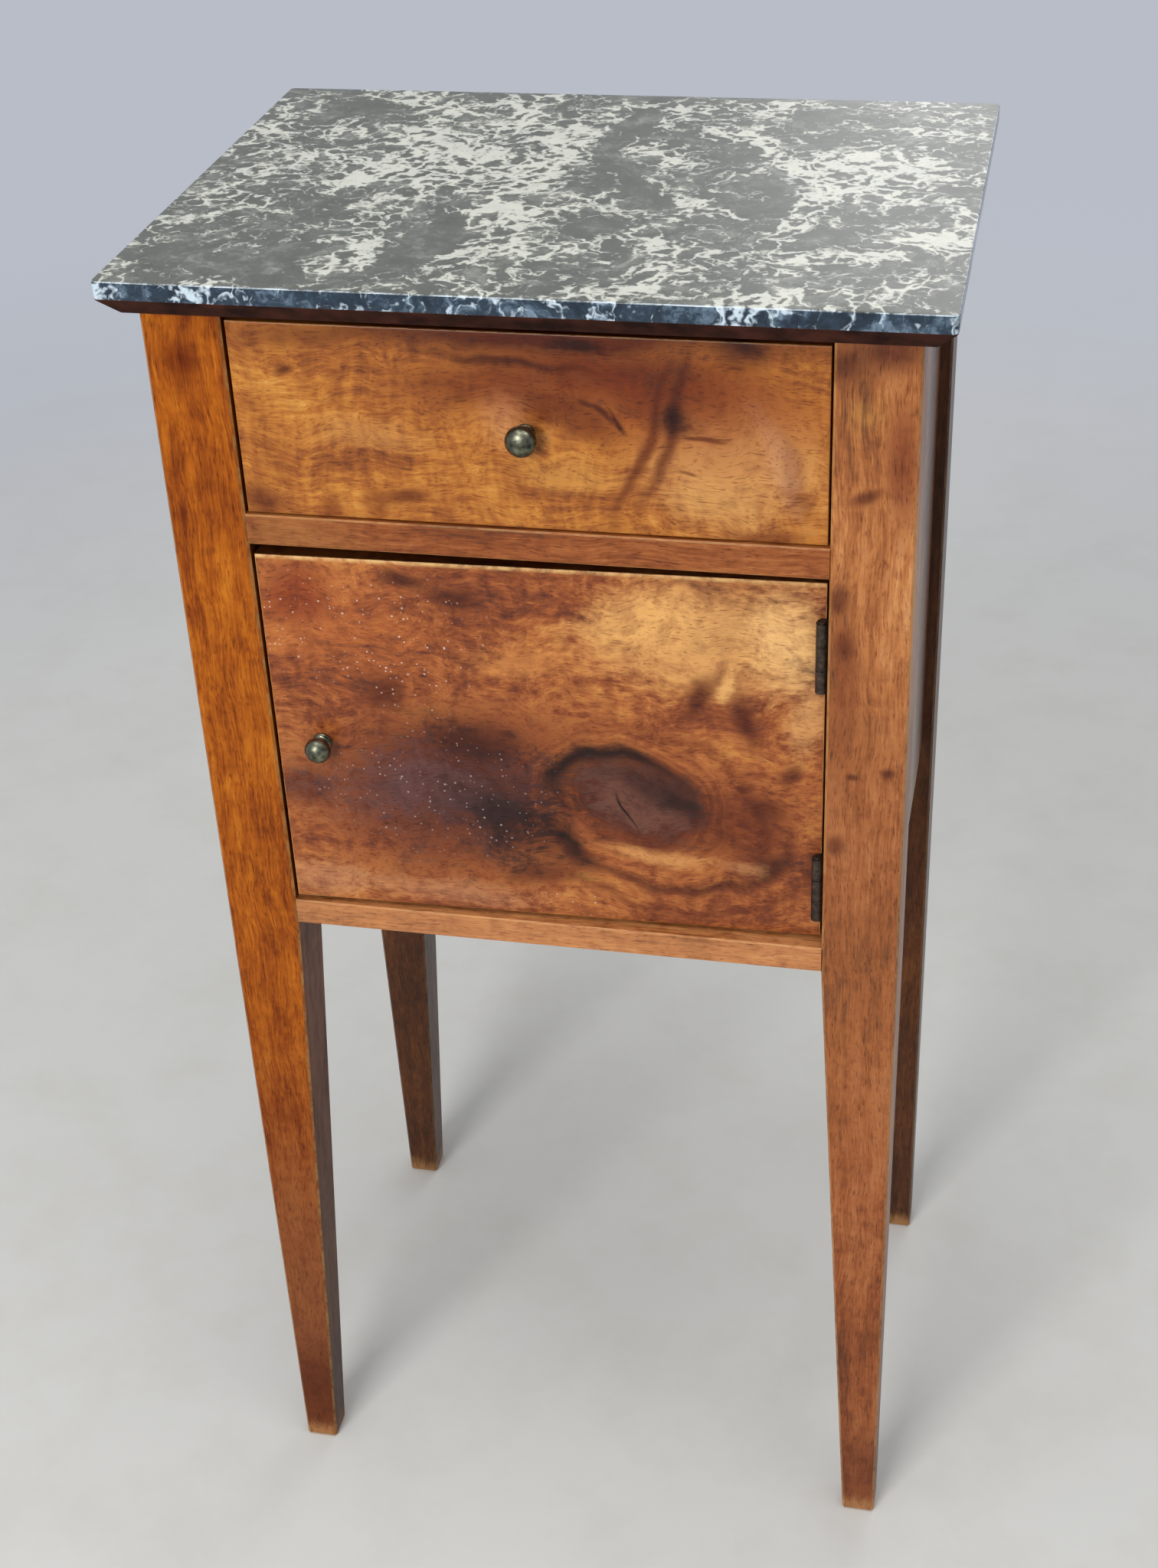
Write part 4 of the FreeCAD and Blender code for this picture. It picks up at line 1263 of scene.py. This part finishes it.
@dataclass
class Door:
    """The door: a figured board with a knob, hung on two hinges.

    It stands ajar by some degrees, and its marks end some millimetres before its clean back.
    """

    ajar: float = 1.3
    knob_radius: float = 6.8 * MM
    clean_back: float = 9.0
    marks: tuple[Mark, ...] = (
        # The first four marks, pale on the upper right, are a painted sheen.
        Mark(85, 600, 84, 46, 0, "#d9a462", 0.65, 0.1, Blend.TINT),
        Mark(50, 606, 44, 18, 0, "#dca660", 0.6, 0.2, Blend.TINT),
        Mark(122, 598, 32, 44, 0, "#e2b272", 0.75, 0.2, Blend.TINT),
        Mark(130, 556, 15, 26, 0, "#cf9a5e", 0.6, 0.2, Blend.TINT),
        Mark(-10, 581, 52, 14, 0, "#c98444", 0.5, 0.2, Blend.TINT),
        Mark(-118, 441, 38, 14, 0, "#b07c58", 0.5, 0.1, Blend.TINT, feather=1.4),
        Mark(-50, 439, 60, 14, 0, "#b07c58", 0.5, 0.1, Blend.TINT, feather=1.4),
        Mark(-100, 590, 70, 50, 0, "#b4642e", 0.5, 0.1, Blend.TINT),
        Mark(-122, 606, 30, 22, 0, "#b0684a", 0.7),
        Mark(-63, 622, 18, 8, 0, "#6e4c54", 0.85),
        Mark(-44, 613, 18, 13, 0, "#7a5054", 0.8),
        Mark(-86, 557, 16, 18, 0, "#7e4e48", 0.8),
        Mark(-126, 495, 28, 15, 10, "#8e5e54", 0.75),
        Mark(-45, 503, 98, 60, 4, "#835a56", 0.9, 0.3, feather=1.3),
        Mark(-42, 494, 78, 42, 4, "#857078", 0.9, 0.1, feather=1.8),
        Mark(-58, 497, 88, 42, 4, "#704c4a", 0.5, 0.1, Blend.TINT, feather=1.8),
        Mark(-26, 488, 48, 26, -10, "#6c5654", 0.85, 0.1, feather=1.5),
        Mark(-37, 531, 36, 20, 0, "#7a4e48", 0.75),
        Mark(9, 472, 28, 10, -44, "#5e4442", 0.9),
        Mark(-4, 455, 26, 11, -10, "#8a5e54", 0.75),
        Mark(50, 502, 58, 36, -10, "#a5785e", 0.8, 0.4, feather=0.5),
        Mark(98, 492, 42, 34, -20, "#a47a68", 0.75, 0.2, feather=1.2),
        Mark(42, 503, 46, 32, -8, "#a07660", 0.8, 0.5, feather=0.7),
        Mark(46, 505, 42, 27, -8, "#7c5648", 0.42, 0.3, Blend.TINT, feather=1.6),
        Mark(52, 512, 32, 14, -20, "#8a6e66", 0.7, 0.2, feather=0.9),
        Ring(38, 503, 37, 27, -8, "#4a3230", 0.95, 0.3, feather=0.7, toward=115, rest=-0.3),
        Mark(67, 502, 22, 9, -34, "#6e5048", 0.8),
        Ring(52, 498, 60, 46, -12, "#9c6c50", 0.5, 0.12, feather=1.4, toward=30, rest=0.1),
        Ring(66, 484, 60, 31, -3, "#7a5646", 0.7, 0.14, feather=1.0, toward=-85, rest=0.0),
        Ring(66, 487, 76, 47, -3, "#966a56", 0.5, 0.1, feather=1.2, toward=-80, rest=0.0),
        Mark(112, 468, 20, 9, 30, "#745044", 0.8, feather=1.2),
        Mark(55, 472, 32, 7, -6, "#c88c50", 0.75, 0.2, Blend.TINT),
        Mark(96, 465, 18, 7, 0, "#b07a4c", 0.6, 0.2, Blend.TINT),
        Mark(41.5, 496, 15, 1.0, -53, "#38221e", 0.95, feather=0.2),
        Mark(77, 565, 8, 22, -8, "#7e4a3c", 0.85),
        Mark(98, 556, 8, 26, 22, "#7e4a3c", 0.85),
        Mark(86.5, 573, 4.5, 12, 0, "#d8a460", 0.7, 0.2, Blend.TINT),
        Mark(125.6, 527.6, 9, 8, 0, "#7c5444", 0.75),
        Mark(116, 505, 16, 10, 0, "#9a6e5c", 0.7),
    )
    specks: tuple[Mark, ...] = (
        Mark(-80, 588, 78, 50, 0, "#d8c4b4", 0.65, 0.5),
        Mark(-58, 498, 84, 54, 0, "#b8a8a2", 0.6, 0.4),
        Mark(8, 436, 30, 10, 0, "#d8c4b4", 0.55, 0.4),
    )
    knots: tuple[Knot, ...] = (Knot(39, 504, 38, 28, -8, 0.55),)

    @property
    def knob(self) -> Knob:
        """The door's knob, turned as the door is."""
        return Knob("door_knob", Body.DOOR, self.knob_radius, self.ajar)

    def build(self) -> Object:
        """Make the door's knob."""
        return self.knob.build()

    def dress(self, piece: Object, brass: Material) -> None:
        """Give the door its wood and the knob its brass.

        Args:
            piece: the knob's surface.
            brass: the knob's finish.
        """
        dress_piece(piece, brass)
        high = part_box("door_panel")[1]
        board = PolishedWalnut(
            "walnut, door", Grain.ACROSS, RUSSET, self.marks, self.knots, self.specks, FIGURED,
            blush=0.55, painted_shade=0.85, wander=9.0, stain_depth=high[1] / MM - self.clean_back,
            wear_and_highlight=0.85, worn_highlit_edge_height=high[2] / MM)
        finish_nodes(("door_panel",), board.build())


@dataclass
class Ironwork:
    """Hinges, screws and nuts."""

    steel: tuple[str, ...] = (
        "upper_hinge_frame_leaf", "lower_hinge_frame_leaf", "upper_hinge_door_leaf",
        "lower_hinge_door_leaf", "upper_hinge_pin", "lower_hinge_pin",
        "frame_leaf_screws", "door_leaf_screws", "drawer_knob_nut", "door_knob_nut")

    def dress(self) -> None:
        """Give the ironwork its steel."""
        finish_nodes(self.steel, OXIDISED_STEEL.build())


@dataclass(frozen=True)
class Lamp:
    """A square soft lamp, white and unseen: its place, aim and side in metres, its power in watts."""

    name: str
    place: Point
    aim: Point
    power: float
    side: float

    def hang(self) -> None:
        """Hang the lamp with its back away from its aim and its right side level."""
        data = bpy.data.lights.new(self.name, "AREA")
        data.energy, data.size = self.power, self.side
        back = np.array(self.place) - np.array(self.aim)
        back /= np.linalg.norm(back)
        right = np.cross((0.0, 0.0, 1.0), back)
        right /= np.linalg.norm(right)
        made = stand(self.name, data, self.place, right, np.cross(back, right))
        made.visible_camera = False


@dataclass
class Studio:
    """Floor, lamps, sky and camera: lit from the front left, with fills from above and behind."""

    reach: float = 9.0
    lamps: tuple[Lamp, ...] = (
        Lamp("overhead", (0.2, -0.5, 2.7), (0.0, 0.0, 0.0), 38.0, 2.4),
        Lamp("key", (-0.7, -2.5, 1.5), (0.0, 0.0, 0.45), 58.0, 1.1),
        Lamp("back fill", (0.5, 2.6, 1.6), (0.0, 0.0, 0.45), 18.0, 1.6),
    )
    glow: str = "#e6ebf2"
    glow_strength: float = 0.32
    lens: float = 52.90
    sensor: float = 36.0
    camera_place: Point = (0.2415, -1.0761, 1.1432)
    camera_right: Point = (0.97785, 0.20552, -0.03990)
    camera_up: Point = (-0.07941, 0.54043, 0.83767)

    def floor(self) -> None:
        """Spread a square floor under the piece."""
        ends = [-self.reach, self.reach]
        x, y = np.meshgrid(ends, ends)
        made = surface("floor", np.dstack([x, y, np.zeros_like(x)]), closed=False)
        dress_piece(made, PaleFloor().build())

    def light(self) -> None:
        """Hang the lamps under a soft sky, which shows the plain background to the rays that are seen."""
        for lamp in self.lamps:
            lamp.hang()
        world = bpy.data.worlds.new("sky")
        world.use_nodes = True
        tree = world.node_tree
        tree.nodes.clear()
        glow = add(tree, "Background", {"Color": linear(self.glow), "Strength": self.glow_strength})
        pale = add(tree, "Background", {"Color": linear(BACKGROUND), "Strength": 1.0})
        sky = add(tree, "MixShader", {0: seen_rays(tree), 1: glow, 2: pale})
        add(tree, "OutputWorld", {"Surface": sky})
        bpy.context.scene.world = world
        bpy.context.scene.view_settings.view_transform = "Standard"

    def camera(self) -> None:
        """Stand the camera at the photograph's place and angle."""
        data = bpy.data.cameras.new("camera")
        data.lens, data.sensor_width = self.lens, self.sensor
        made = stand("camera", data, self.camera_place, self.camera_right, self.camera_up)
        bpy.context.scene.camera = made


def main() -> None:
    """Build and dress the nightstand."""
    logging.basicConfig(level=logging.INFO, format="%(name)s %(message)s")
    studio = Studio()
    studio.floor()
    studio.light()
    studio.camera()
    top = MarbleTop()
    top.dress(top.build())
    Carcass().dress()
    Ironwork().dress()
    brass = PATINATED_BRASS.build()
    for part in (Drawer(), Door()):
        part.dress(part.build(), brass)


if __name__ == "__main__":
    main()
